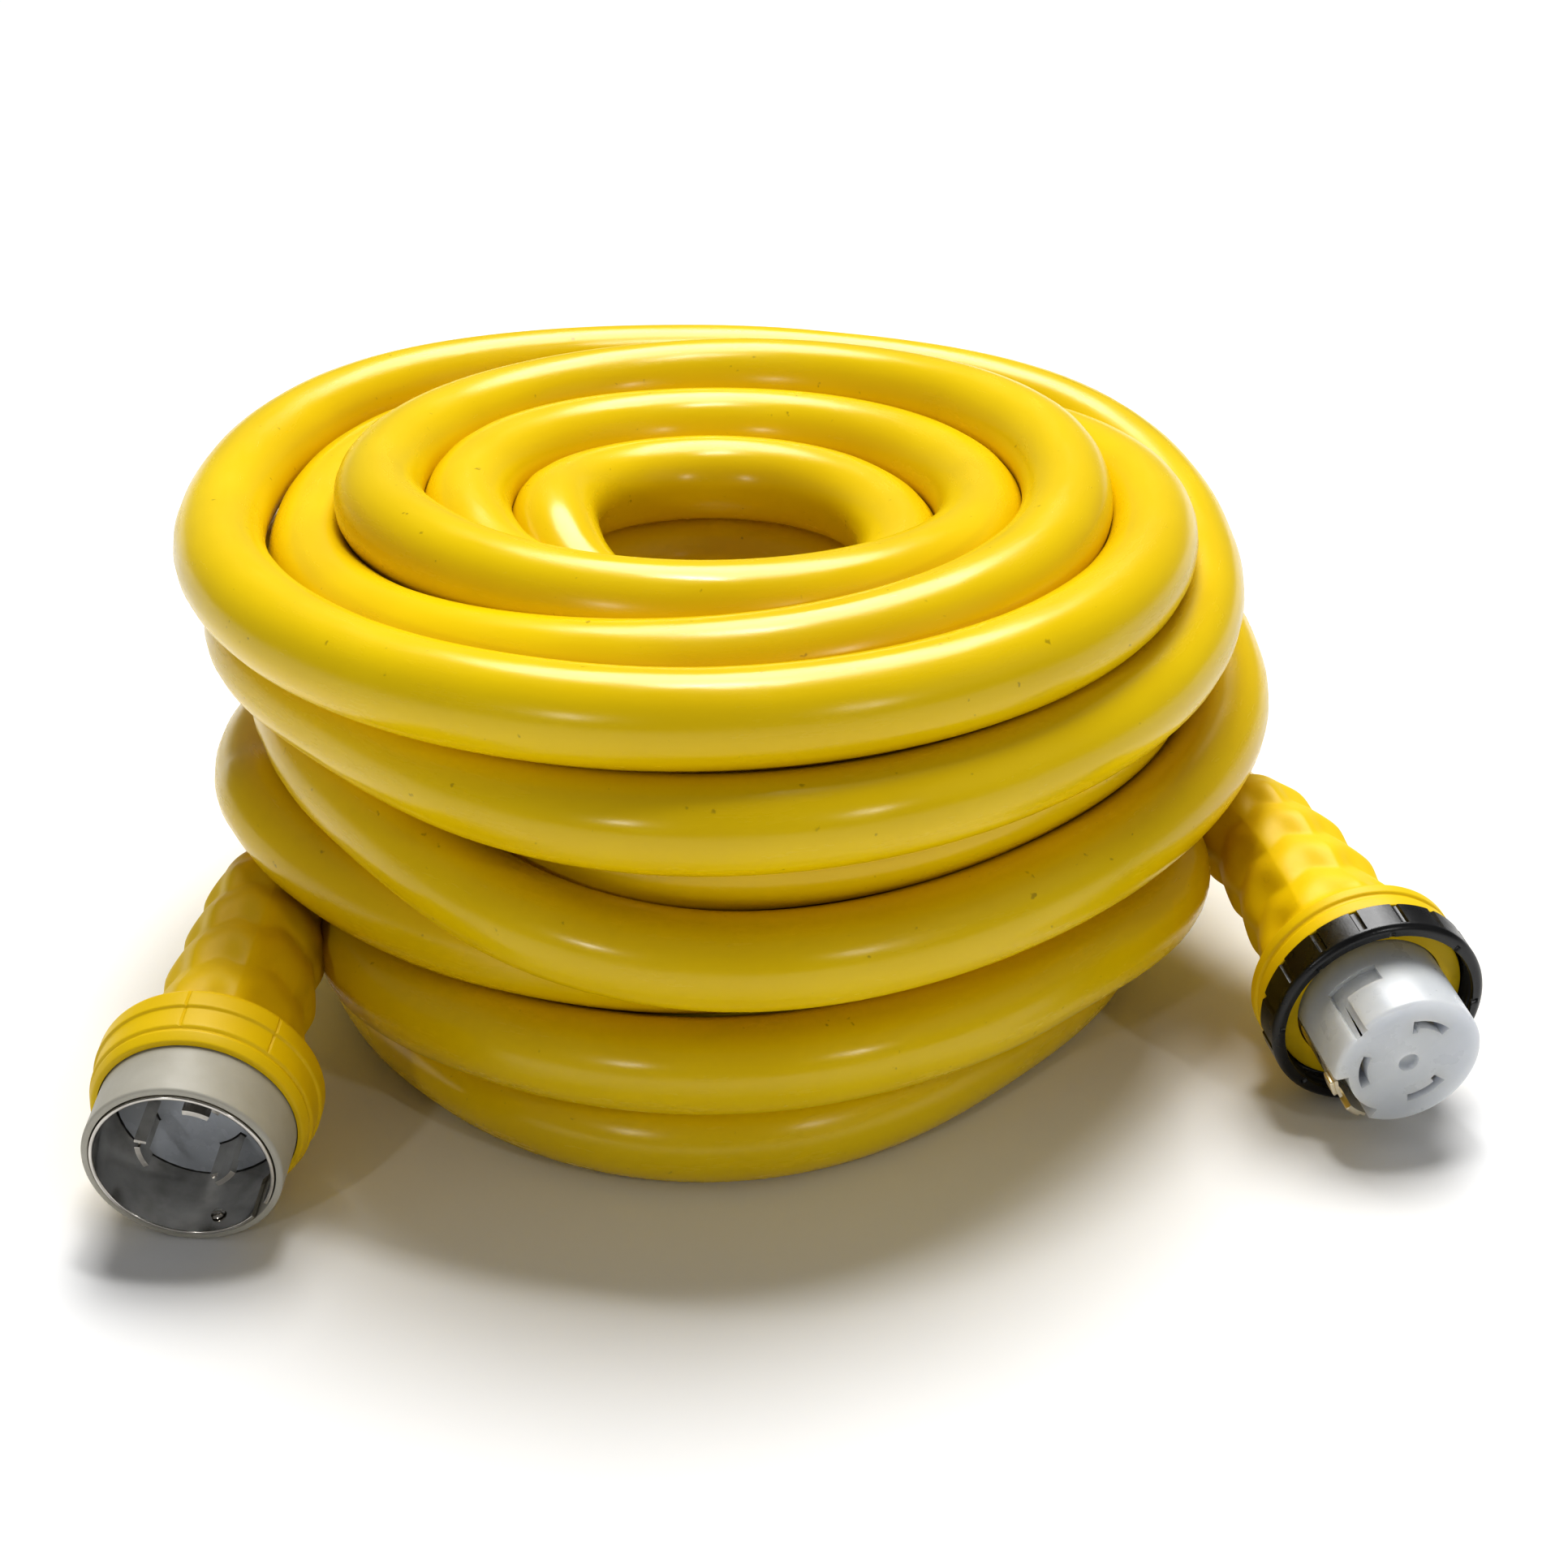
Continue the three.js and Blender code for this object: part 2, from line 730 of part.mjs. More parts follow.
const cable = new THREE.Group();
cable.add(
  node('cable_coil', coil, cableYellow),
  node('cable_tail_plug', tube(plugRoute, CABLE_R, 3), cableYellow),
  node('cable_tail_connector', tube(connectorRoute, CABLE_R, 7), cableYellow),
);

const ends = new THREE.Group();
ends.add(plugGroup, connectorGroup);
ends.updateMatrixWorld(true);
const endsBox = new THREE.Box3().setFromObject(ends, true);

const group = new THREE.Group();
group.add(ends, cable);
group.position.set(
  -(endsBox.min.x + endsBox.max.x) / 2,
  -(endsBox.min.y + endsBox.max.y) / 2,
  -endsBox.min.z,
);
group.updateMatrixWorld(true);

export default group;
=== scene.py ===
"""A 50 A shore power cord, coiled for storage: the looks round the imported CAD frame.

Everything is in metres in the row frame. The two ends are modelled in millimetres in a
frame of their own, as they are in CAD: +Z points out of the front face, +Y is up, and a
place along an end is given by its distance behind that face.
"""

import json
import math

import bmesh
import bpy
import numpy as np
from mathutils import Matrix, Vector


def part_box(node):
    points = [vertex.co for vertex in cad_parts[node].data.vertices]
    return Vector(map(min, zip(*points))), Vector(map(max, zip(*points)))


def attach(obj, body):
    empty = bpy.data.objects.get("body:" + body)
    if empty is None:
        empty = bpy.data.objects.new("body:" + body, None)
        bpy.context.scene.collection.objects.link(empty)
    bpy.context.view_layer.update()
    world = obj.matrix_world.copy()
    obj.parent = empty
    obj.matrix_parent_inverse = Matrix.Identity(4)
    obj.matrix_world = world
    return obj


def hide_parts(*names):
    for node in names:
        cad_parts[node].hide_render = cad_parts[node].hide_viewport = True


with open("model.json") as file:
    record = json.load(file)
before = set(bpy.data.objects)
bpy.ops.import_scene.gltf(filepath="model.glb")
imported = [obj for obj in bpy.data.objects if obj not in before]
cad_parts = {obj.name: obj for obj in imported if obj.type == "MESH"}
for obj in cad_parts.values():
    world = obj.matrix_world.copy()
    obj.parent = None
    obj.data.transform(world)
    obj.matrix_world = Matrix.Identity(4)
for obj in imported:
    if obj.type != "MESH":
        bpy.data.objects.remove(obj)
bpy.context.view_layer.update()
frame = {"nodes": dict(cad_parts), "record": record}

MM = 0.001
UP = Vector((0, 0, 1))
TURN = 2 * math.pi

mounts = {mount["name"]: mount for mount in frame["record"]["mounts"]}
coil_low, coil_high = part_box("cable_coil")
COIL_AXIS = np.array([(coil_low.x + coil_high.x) / 2, (coil_low.y + coil_high.y) / 2, 0.0])

# ---- sizes of the two ends, in millimetres, as in CAD --------------------------

BOOT_LENGTH = 130
PLUG_BEND = {"start": 66, "length": 44, "angle": 3, "toward": (-0.4, -1)}
CONNECTOR_BEND = {"start": 80, "length": 40, "angle": 11, "toward": (-1, -0.25)}
JACKET_R = 14.6
BORE_R = 15.3  # what is nearer the axis is a boot's bore, and stays plain

# How far a boot reaches from its axis, as (behind the front face, radius).
BOOT_REACH = [(0, 28.4), (18, 28.4), (20, 33), (37, 33), (40, 28), (50, 23), (60, 22), (90, 20.3),
              (BOOT_LENGTH, 17.3)]

SHELL = {"inner": 24.8, "outer": 26.0, "end": 35.3}
SLEEVE = {"start": 0.6, "inner": 26.3, "outer": 28.4, "end": 30.0}
KEY_SLOT = {"angle": 323, "width": 6.6, "depth": 14.6}
RIVET = {"angle": 284, "behind": 6.5, "shank": 1.0}
RIVET_SLOT = {"inner": 22.5, "outer": 23.75, "half": 7, "half_width": 0.3}
BLADE = {"inner": 13.4, "outer": 15.0, "tip": 7.0, "hook": 5.0, "half": 15, "end": 36.0}
STEM = {"from": -26, "to": 7}
FOOT = {"inner": 11.6, "from": -26, "to": -22}
BLADE_ANGLES = {"hot_1": 193, "hot_2": 313, "neutral": 73}

NOSE = {"radius": 22.8, "length": 46.0}
SLOT = {"inner": 12.8, "outer": 15.6, "half": 24, "end": 4.0}
SLOT_END = {"inner": 11.0, "angle": 9}
POCKET = {"inner": 11.6, "outer": 16.8}
CONTACT_ANGLES = {"hot_1": 187, "hot_2": 70, "neutral": 302}
KEYWAY = {"from": 106, "turn": 136, "to": 148, "depth": 1.6, "start": 13.7, "end": 20.0}
DIMPLE = {"radius": 3.2, "depth": 2.4, "rounding": 0.9}
SCREW_HOLES = {"angles": (20, 140), "radius": 17.5, "size": 1.8, "start": 37.0}
CLIP = {"angle": 218, "inner": 21.6, "outer": 22.6, "half": 25, "start": 1.2, "end": 36.0}
CLIP_PAD = {"off": 16, "half": 7, "into": 0.3, "raised": 1.3, "start": 1.9, "end": 7.5}
CLIP_WINDOW = {"half": 7, "end": 9}
CLIP_RECESS = {"inner": 18.6, "half": 29}

RING = {"start": 22.0, "end": 33.5, "outer": 33.5, "bore": 29.6, "lip_r": 27.2, "lip": 2.2}
NOTCHES = {"count": 16, "phase": -6, "half_width": 1.0, "depth": 0.9, "start": 24.2}
TICKS = {"count": 8, "phase": 2, "half_width": 0.6, "depth": 0.7, "reach": 31.6}
THREAD = {"pitch": 2.3, "depth": 0.8}

# ---- the cable's route ---------------------------------------------------------

CABLE_D = 0.028
PER_TURN = 48
STATIONS = 8

# Each tail, from just after its boot to the coil: its places from the coil's axis.
PLUG_TAIL = [
    (-0.1352, -0.0434, 0.0486),
    (-0.1344, -0.0330, 0.0497),
    (-0.1328, -0.0200, 0.0508),
]
CONNECTOR_TAIL = [
    (0.1686, 0.0037, 0.0495),
    (0.1631, 0.0155, 0.0507),
    (0.1556, 0.0290, 0.0516),
    (0.1460, 0.0425, 0.0522),
    (0.1344, 0.0555, 0.0525),
    (0.1215, 0.0673, 0.0526),
    (0.1075, 0.0776, 0.0526),
]

# The winding, turn by turn from the plug: where the cable runs at some eighths of the
# turn, clockwise from the left (2 is the back, 4 the right, 6 the front), as
# (eighth, distance from the coil's axis, height of the centreline) in cable diameters.
TURNS = [
    [(0, 4.78, 1.78), (1, 5.1, 1.25), (2, 5.1, 0.7), (3, 5.0, 0.5), (4, 4.7, 0.5), (5, 4.5, 0.5),
     (6, 5.13, 0.5), (7, 4.45, 0.5)],
    [(0, 4.0, 0.5), (2, 4.1, 0.5), (4, 3.7, 0.5), (5, 3.5, 0.5), (6, 4.1, 0.5), (7, 3.45, 0.5)],
    [(0, 3.0, 0.5), (2, 3.1, 0.5), (4, 2.7, 0.5), (5, 2.5, 0.5), (6, 3.0, 0.5), (7, 2.5, 0.5)],
    [(0, 2.1, 0.6), (2, 2.2, 1.0), (4, 2.05, 1.4), (6, 2.3, 1.45)],
    [(0, 2.0, 1.45), (2, 2.7, 1.45), (4, 3.0, 1.45), (6, 3.3, 1.45), (7, 2.8, 1.45)],
    [(0, 2.9, 1.45), (2, 3.6, 1.45), (4, 4.0, 1.5), (6, 4.22, 1.52), (7, 4.0, 1.6)],
    [(0, 4.0, 2.4), (2, 4.3, 2.4), (4, 3.75, 2.35), (6, 3.8, 2.35)],
    [(0, 3.1, 2.3), (2, 3.3, 2.4), (4, 2.8, 2.35), (6, 2.8, 2.35)],
    [(0, 2.1, 2.35), (2, 2.1, 2.5), (4, 2.0, 2.7), (6, 2.05, 3.1), (7, 1.95, 3.3)],
    [(0, 2.2, 3.3), (2, 2.9, 3.3), (4, 2.8, 3.3), (6, 3.1, 3.3), (7, 2.9, 3.35)],
    [(0, 3.15, 3.4), (2, 4.0, 3.4), (4, 3.85, 3.6), (6, 4.1, 3.9)],
    [(0, 3.0, 4.4), (2, 3.4, 4.3), (4, 3.0, 4.3), (6, 3.0, 4.3)],
    [(0, 2.05, 4.3), (2, 2.25, 4.1), (4, 2.1, 4.1), (6, 2.15, 4.25), (7, 2.2, 4.8)],
    [(0, 2.0, 5.05), (2, 2.3, 5.05), (4, 2.3, 5.15), (6, 2.75, 5.15), (7, 2.7, 5.3)],
    [(0, 2.75, 5.5), (2, 3.15, 5.38), (4, 3.05, 5.5), (6, 3.63, 5.76)],
    [(0, 3.6, 5.7), (2, 4.05, 5.62), (4, 3.95, 5.75), (6, 4.6, 5.57)],
    [(0, 4.5, 5.1), (1, 5.05, 5.05), (2, 4.95, 5.05), (4, 4.8, 5.5), (5, 5.2, 5.5),
     (6, 5.57, 5.45), (7, 5.45, 5.4)],
    [(0, 5.45, 5.38), (1, 5.88, 5.45), (2, 5.6, 5.3), (3, 5.9, 5.2), (4, 5.4, 4.78),
     (5, 5.5, 4.55), (6, 5.87, 4.5), (7, 5.05, 4.4)],
    [(0, 5.1, 4.3), (2, 5.5, 4.2), (4, 5.1, 3.95), (5, 5.0, 3.75), (6, 5.02, 3.7), (7, 3.97, 3.72)],
    [(0, 3.9, 4.15), (1, 4.7, 3.75), (2, 5.5, 3.3), (3, 5.7, 3.1), (4, 5.72, 3.08),
     (5, 5.25, 2.95), (6, 5.6, 2.93), (7, 4.9, 3.5)],
    [(0, 4.7, 3.52), (2, 5.3, 2.7), (4, 4.68, 2.6), (5, 4.6, 2.45), (6, 4.8, 2.35), (7, 4.95, 2.5)],
    [(0, 5.12, 2.62), (2, 4.95, 2.6), (3, 4.6, 2.4), (4, 5.0, 1.58), (4.3, 5.36, 1.52), (5, 5.02, 1.52),
     (6, 5.27, 1.53), (7, 4.5, 1.5)],
    [(0, 3.8, 1.45), (2, 4.6, 1.65), (3, 4.75, 1.85), (4, 6.0, 1.8)],
]


# ---- lines and frames ------------------------------------------------------------


def end_frame(node, axis):
    """The matrix of one end of the cord, from a turned CAD node whose front is the end's."""
    z = Vector(axis).normalized()
    x = UP.cross(z).normalized()
    turn = Matrix((x, z.cross(x), z)).transposed()
    local = np.array([turn.transposed() @ v.co for v in frame["nodes"][node].data.vertices])
    low, high = local.min(0), local.max(0)
    front = Vector(((low[0] + high[0]) / 2, (low[1] + high[1]) / 2, high[2]))
    return Matrix.Translation(turn @ front) @ turn.to_4x4()


PLUG = end_frame("plug_ground_shell", mounts["plug_seat"]["axis"])
CONNECTOR = end_frame("connector_nose", mounts["socket_face"]["axis"])


def bent(points, bend):
    """Bends what is more than bend's start behind the front face, as the CAD boots are."""
    side = np.array([*bend["toward"], 0.0])
    side /= np.linalg.norm(side)
    across = np.cross([0.0, 0.0, 1.0], side)
    full = math.radians(bend["angle"])
    arc_r = bend["length"] / full
    points = np.array(points, float)
    along = np.maximum(-points[:, 2] - bend["start"], 0)
    turn = np.minimum(along / bend["length"], 1) * full
    straight = np.maximum(along - bend["length"], 0)
    u = points @ side
    shift = arc_r * (1 - np.cos(turn)) + straight * np.sin(turn) + u * np.cos(turn)
    back = arc_r * np.sin(turn) + straight * np.cos(turn) - u * np.sin(turn)
    moved = shift[:, None] * side + (points @ across)[:, None] * across
    moved[:, 2] = -bend["start"] - back
    return np.where((along > 0)[:, None], moved, points)


def boot_axis(end, bend, behind):
    """Points on a boot's own centreline, in the row frame, in metres."""
    local = bent([(0, 0, -b) for b in behind], bend) * MM
    return np.array([end @ Vector(p) for p in local])


def spline(points, steps):
    """A smooth line through the points, with that many stretches between each two."""
    p = np.asarray(points, float)
    padded = np.vstack([2 * p[0] - p[1], p, 2 * p[-1] - p[-2]])
    t = np.arange(steps)[:, None] / steps
    line = []
    for a, b, c, d in zip(padded, padded[1:], padded[2:], padded[3:]):
        square = (2 * a - 5 * b + 4 * c - d) * t**2
        cube = (3 * b - a - 3 * c + d) * t**3
        line.append(0.5 * (2 * b + (c - a) * t + square + cube))
    line.append(p[-1:])
    return np.vstack(line)


# ---- the winding -------------------------------------------------------------------


def place_numbers(points):
    """Route points as (place round the coil, radius, height), counted clockwise from the left."""
    offset = (points - COIL_AXIS) / CABLE_D
    azimuth = np.arctan2(offset[:, 1], offset[:, 0])
    place = (math.pi - azimuth) / TURN * PER_TURN
    return place, np.stack([np.hypot(offset[:, 0], offset[:, 1]), offset[:, 2]], 1)


def winding_plan():
    """The planned radius and height at each place, on a smooth curve through the stations."""
    flat = [(STATIONS * turn + row[0], *row[1:]) for turn, rows in enumerate(TURNS) for row in rows]
    at = np.array([station[0] for station in flat], float)
    value = np.array([station[1:] for station in flat], float)
    gap = np.diff(at)[:, None]
    slope = np.diff(value, axis=0) / gap
    inner = (slope[:-1] * gap[1:] + slope[1:] * gap[:-1]) / (gap[1:] + gap[:-1])
    tangent = np.vstack([slope[:1], inner, slope[-1:]])
    place = np.arange(int(at[-1] * PER_TURN / STATIONS) + 1) * STATIONS / PER_TURN
    k = np.clip(np.searchsorted(at, place, side="right") - 1, 0, len(at) - 2)
    h = gap[k]
    t = (place - at[k])[:, None] / h
    start = (2 * t**3 - 3 * t**2 + 1) * value[k] + (t**3 - 2 * t**2 + t) * h * tangent[k]
    end = (3 * t**2 - 2 * t**3) * value[k + 1] + (t**3 - t**2) * h * tangent[k + 1]
    return start + end


def boots_across(place_count):
    """For each place round the coil, the place and thickness of a boot that lies there."""
    behind = np.arange(BOOT_LENGTH + 1)
    thickness = np.interp(behind, *zip(*BOOT_REACH))
    found = [[] for _ in range(place_count)]
    for end, bend in ((PLUG, PLUG_BEND), (CONNECTOR, CONNECTOR_BEND)):
        place, section = place_numbers(boot_axis(end, bend, behind))
        for k in range(place_count):
            away = np.abs((place - k + place_count / 2) % place_count - place_count / 2)
            j = int(np.argmin(away))
            if away[j] < 0.6:
                found[k].append((section[j], thickness[j] * MM / CABLE_D))
    return found


def laid_turns(section, plan, held, place, boots):
    """Settles the planned turns until none lies in another, in a boot or in the floor."""
    rounds = 250
    pull = 0.06
    groups = [np.where(place % PER_TURN == k)[0] for k in range(PER_TURN)]
    for i in range(rounds):
        free = ~held
        section[free] += pull * (1 - 0.7 * i / rounds) * (plan[free] - section[free])
        moved = section - plan
        moved[1:-1] = (moved[:-2] + 2 * moved[1:-1] + moved[2:]) / 4
        moved[held] = 0
        section = plan + moved
        for _ in range(3):
            for k, group in enumerate(groups):
                section[group] = pushed_apart(section[group], held[group], boots[k])
    return section


def pushed_apart(here, held, boots):
    """One step that parts the turns crossing one plane through the coil's axis."""
    apart = here[:, None] - here[None]
    distance = np.sqrt((apart**2).sum(2)) + np.eye(len(here)) * 9
    overlap = np.clip(1 - distance, 0, None) * np.where(held[None, :], 1.0, 0.5)
    push = (apart / distance[:, :, None] * overlap[:, :, None]).sum(1) * 0.9
    push[held] = 0
    here = here + push
    for centre, thickness in boots:
        away = here - centre
        distance = np.linalg.norm(away, axis=1)
        push = away * (np.clip(thickness + 0.5 - distance, 0, None) / distance)[:, None]
        push[held] = 0
        here = here + push
    here[~held, 1] = np.maximum(here[~held, 1], 0.5)
    return here


def cable_line():
    """The cable's centreline from the plug's boot, through the coil, to the connector's boot."""
    start = boot_axis(PLUG, PLUG_BEND, [BOOT_LENGTH])
    finish = boot_axis(CONNECTOR, CONNECTOR_BEND, [BOOT_LENGTH])
    plug_at, plug_section = place_numbers(np.vstack([start, np.array(PLUG_TAIL) + COIL_AXIS]))
    plug_at -= PER_TURN
    far_at, far_section = place_numbers(np.vstack([finish, np.array(CONNECTOR_TAIL) + COIL_AXIS]))
    far_at += (len(TURNS) - 1) * PER_TURN
    place = np.arange(math.ceil(plug_at.min()), math.floor(far_at.max()) + 1)
    plan = winding_plan()
    plan = plan[np.clip(place, 0, len(plan) - 1)]
    near = place <= math.floor(plug_at.max())
    far = place >= math.ceil(far_at.min())
    for mask, at, section in ((near, plug_at, plug_section), (far, far_at, far_section)):
        order = np.argsort(at)
        for column in range(2):
            plan[mask, column] = np.interp(place[mask], at[order], section[order, column])
    held = near | far
    joined = (np.abs(place - place[near].max()) < 10) | (np.abs(place - place[far].min()) < 12)
    for _ in range(60):
        softer = (plan[:-2] + 2 * plan[1:-1] + plan[2:]) / 4
        change = (joined & ~held)[1:-1]
        plan[1:-1][change] = softer[change]
    section = laid_turns(plan.copy(), plan, held, place, boots_across(PER_TURN))
    azimuth = math.pi - TURN * place / PER_TURN
    flat = section[:, :1] * CABLE_D * np.stack([np.cos(azimuth), np.sin(azimuth)], 1)
    line = np.hstack([flat, section[:, 1:] * CABLE_D]) + COIL_AXIS
    return spline(np.vstack([start, line, finish]), 3)


# ---- mesh building --------------------------------------------------------------


def add_object(name, points, faces):
    mesh = bpy.data.meshes.new(name)
    mesh.from_pydata([tuple(p) for p in points], [], faces)
    mesh.validate()
    mesh.update()
    obj = bpy.data.objects.new(name, mesh)
    bpy.context.scene.collection.objects.link(obj)
    return obj


def grid_faces(rows, columns, close_rows=False):
    """Quads between rows of points that each go round once."""
    faces = []
    for i in range(rows if close_rows else rows - 1):
        after = (i + 1) % rows
        for j in range(columns):
            beside = (j + 1) % columns
            here, there = i * columns, after * columns
            faces.append((here + j, here + beside, there + beside, there + j))
    return faces


def rounded(corners, steps=4):
    """A closed outline whose corners, (behind, radius, rounding), are rounded off."""
    outline = []
    for i, (behind, radius, rounding) in enumerate(corners):
        here = Vector((behind, radius))
        if rounding == 0:
            outline.append((behind, radius))
            continue
        before = Vector(corners[i - 1][:2]) - here
        after = Vector(corners[(i + 1) % len(corners)][:2]) - here
        first = here + before.normalized() * rounding
        last = here + after.normalized() * rounding
        for k in range(steps + 1):
            t = k / steps
            point = first * (1 - t) ** 2 + here * 2 * t * (1 - t) + last * t**2
            outline.append((point.x, point.y))
    return outline


def turned(name, outline, segments=96, shape=None, bend=None):
    """A closed turned solid in millimetres. shape(behind, radius, angle) moves its points."""
    points = []
    for behind, radius in outline:
        for j in range(segments):
            angle = TURN * j / segments
            b, r = shape(behind, radius, angle) if shape else (behind, radius)
            points.append((r * math.cos(angle), r * math.sin(angle), -b))
    if bend:
        points = bent(points, bend)
    obj = add_object(name, points, grid_faces(len(outline), segments, close_rows=True))
    return outward(merged(obj))


def merged(obj, distance=1e-4):
    """The object with points that lie together joined."""
    work = bmesh.new()
    work.from_mesh(obj.data)
    bmesh.ops.remove_doubles(work, verts=work.verts, dist=distance)
    work.to_mesh(obj.data)
    work.free()
    return obj


def outward(obj):
    """The object with all its faces turned outward."""
    work = bmesh.new()
    work.from_mesh(obj.data)
    bmesh.ops.recalc_face_normals(work, faces=work.faces)
    work.to_mesh(obj.data)
    work.free()
    return obj


def sector(name, inner, outer, first, last, start, end, step=2.0, rounding=0.0):
    """A curved plate round the axis, from one angle to another in degrees."""
    count = max(2, round(abs(last - first) / step) + 1)
    points = []
    for angle in np.radians(np.linspace(first, last, count)):
        for radius, behind in ((inner, start), (outer, start), (outer, end), (inner, end)):
            points.append((radius * math.cos(angle), radius * math.sin(angle), -behind))
    faces = grid_faces(count, 4)
    faces.append((0, 1, 2, 3))
    faces.append(tuple(4 * (count - 1) + k for k in (3, 2, 1, 0)))
    obj = outward(add_object(name, points, faces))
    if rounding:
        bevel(obj, rounding, 3, apply=False)
    return obj


def bevel(obj, width, segments=2, angle=40, apply=True):
    modifier = obj.modifiers.new("bevel", "BEVEL")
    modifier.width = width
    modifier.segments = segments
    modifier.limit_method = "ANGLE"
    modifier.angle_limit = math.radians(angle)
    modifier.harden_normals = False
    return applied(obj) if apply else obj


def applied(obj):
    """The object with its modifiers made part of its mesh."""
    bpy.context.view_layer.update()
    graph = bpy.context.evaluated_depsgraph_get()
    mesh = bpy.data.meshes.new_from_object(obj.evaluated_get(graph))
    obj.modifiers.clear()
    obj.data = mesh
    return obj


def carved(obj, tools, operation="DIFFERENCE"):
    """Cuts the tools out of obj, or joins them to it, and removes them."""
    for tool in tools:
        modifier = obj.modifiers.new("carve", "BOOLEAN")
        modifier.operation = operation
        modifier.solver = "EXACT"
        modifier.object = tool
        applied(obj)
        bpy.data.objects.remove(tool)
    return obj


def smooth(obj, angle=32):
    obj.data.shade_smooth()
    obj.data.set_sharp_from_angle(angle=math.radians(angle))
    return obj


def settle(obj, end, body, slot, nodes):
    """Puts a piece made in an end's own millimetres into the row frame, for those CAD nodes."""
    obj.data.transform(end @ Matrix.Scale(MM, 4))
    smooth(obj)
    dress(obj, slot)
    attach(obj, body)
    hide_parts(*nodes)
    return obj


def step_up(low, high, value):
    """0 below low, 1 above high, and smooth between them."""
    t = min(max((value - low) / (high - low), 0), 1)
    return t * t * (3 - 2 * t)


def angle_off(angle, centre):
    """How far an angle is from a centre in degrees, in degrees."""
    return (math.degrees(angle) - centre + 180) % 360 - 180


# ---- materials --------------------------------------------------------------------


def linear(red, green, blue):
    """A colour given as 0 to 255 display values."""
    return tuple((c / 255 / 12.92) if c / 255 <= 0.04045 else ((c / 255 + 0.055) / 1.055) ** 2.4
                 for c in (red, green, blue)) + (1.0,)


def new_look(name, roughness, metallic=0.0):
    material = bpy.data.materials.new(name)
    material.use_nodes = True
    tree = material.node_tree
    surface = tree.nodes["Principled BSDF"]
    surface.inputs["Roughness"].default_value = roughness
    surface.inputs["Metallic"].default_value = metallic
    return material, tree, surface


def places(tree, attribute=None):
    """Where a texture is read: the piece's own coordinates, or an attribute of its mesh."""
    if attribute:
        node = tree.nodes.new("ShaderNodeAttribute")
        node.attribute_name = attribute
        return node.outputs["Vector"]
    return tree.nodes.new("ShaderNodeTexCoord").outputs["Object"]


def noise(tree, where, scale, detail=4.0, stretch=(1, 1, 1), grain=0.55):
    mapping = tree.nodes.new("ShaderNodeMapping")
    mapping.inputs["Scale"].default_value = stretch
    tree.links.new(where, mapping.inputs["Vector"])
    texture = tree.nodes.new("ShaderNodeTexNoise")
    texture.inputs["Scale"].default_value = scale
    texture.inputs["Detail"].default_value = detail
    texture.inputs["Roughness"].default_value = grain
    tree.links.new(mapping.outputs["Vector"], texture.inputs["Vector"])
    return texture.outputs["Fac"]


def ranged(tree, value, low, high, to_low=0.0, to_high=1.0):
    node = tree.nodes.new("ShaderNodeMapRange")
    node.inputs["From Min"].default_value = low
    node.inputs["From Max"].default_value = high
    node.inputs["To Min"].default_value = to_low
    node.inputs["To Max"].default_value = to_high
    tree.links.new(value, node.inputs["Value"])
    return node.outputs["Result"]


def mixed(tree, factor, first, second):
    """A mix of two colours, each a colour or another node's output."""
    node = tree.nodes.new("ShaderNodeMix")
    node.data_type = "RGBA"
    tree.links.new(factor, node.inputs["Factor"])
    for socket, colour in ((node.inputs[6], first), (node.inputs[7], second)):
        if isinstance(colour, tuple):
            socket.default_value = colour
        else:
            tree.links.new(colour, socket)
    return node.outputs[2]


def bump(tree, surface, height, distance, strength=1.0):
    """Adds a height to the surface's bumps, in metres."""
    node = tree.nodes.new("ShaderNodeBump")
    node.inputs["Strength"].default_value = strength
    node.inputs["Distance"].default_value = distance
    tree.links.new(height, node.inputs["Height"])
    before = surface.inputs["Normal"].links
    if before:
        tree.links.new(before[0].from_socket, node.inputs["Normal"])
    tree.links.new(node.outputs["Normal"], surface.inputs["Normal"])


def cable_look():
    """Glossy yellow jacket, with scuffs along the cable, a few dark specks and a wavy skin."""
    material, tree, surface = new_look("jacket_yellow", 0.26)
    lay = places(tree, "lay")
    here = places(tree)
    tone = ranged(tree, noise(tree, here, 9, 3), 0.35, 0.65)
    colour = mixed(tree, tone, linear(226, 192, 0), linear(236, 204, 0))
    scuff = ranged(tree, noise(tree, lay, 40, 6, (0.5, 3.0, 3.0), 0.7), 0.66, 0.74)
    colour = mixed(tree, ranged(tree, scuff, 0, 1, 0, 0.3), colour, linear(246, 218, 40))
    dirt = ranged(tree, noise(tree, here, 260, 2), 0.72, 0.78)
    colour = mixed(tree, ranged(tree, dirt, 0, 1, 0, 0.5), colour, linear(120, 96, 10))
    tree.links.new(colour, surface.inputs["Base Color"])
    rough = ranged(tree, noise(tree, lay, 60, 5, (0.4, 2.0, 2.0), 0.65), 0.3, 0.75, 0.17, 0.33)
    tree.links.new(rough, surface.inputs["Roughness"])
    bump(tree, surface, noise(tree, lay, 14, 2, (1.0, 2.0, 2.0)), 0.0012, 0.5)
    bump(tree, surface, noise(tree, lay, 420, 4, (0.35, 1.0, 1.0)), 0.00006, 0.5)
    surface.inputs["Specular IOR Level"].default_value = 0.4
    return material


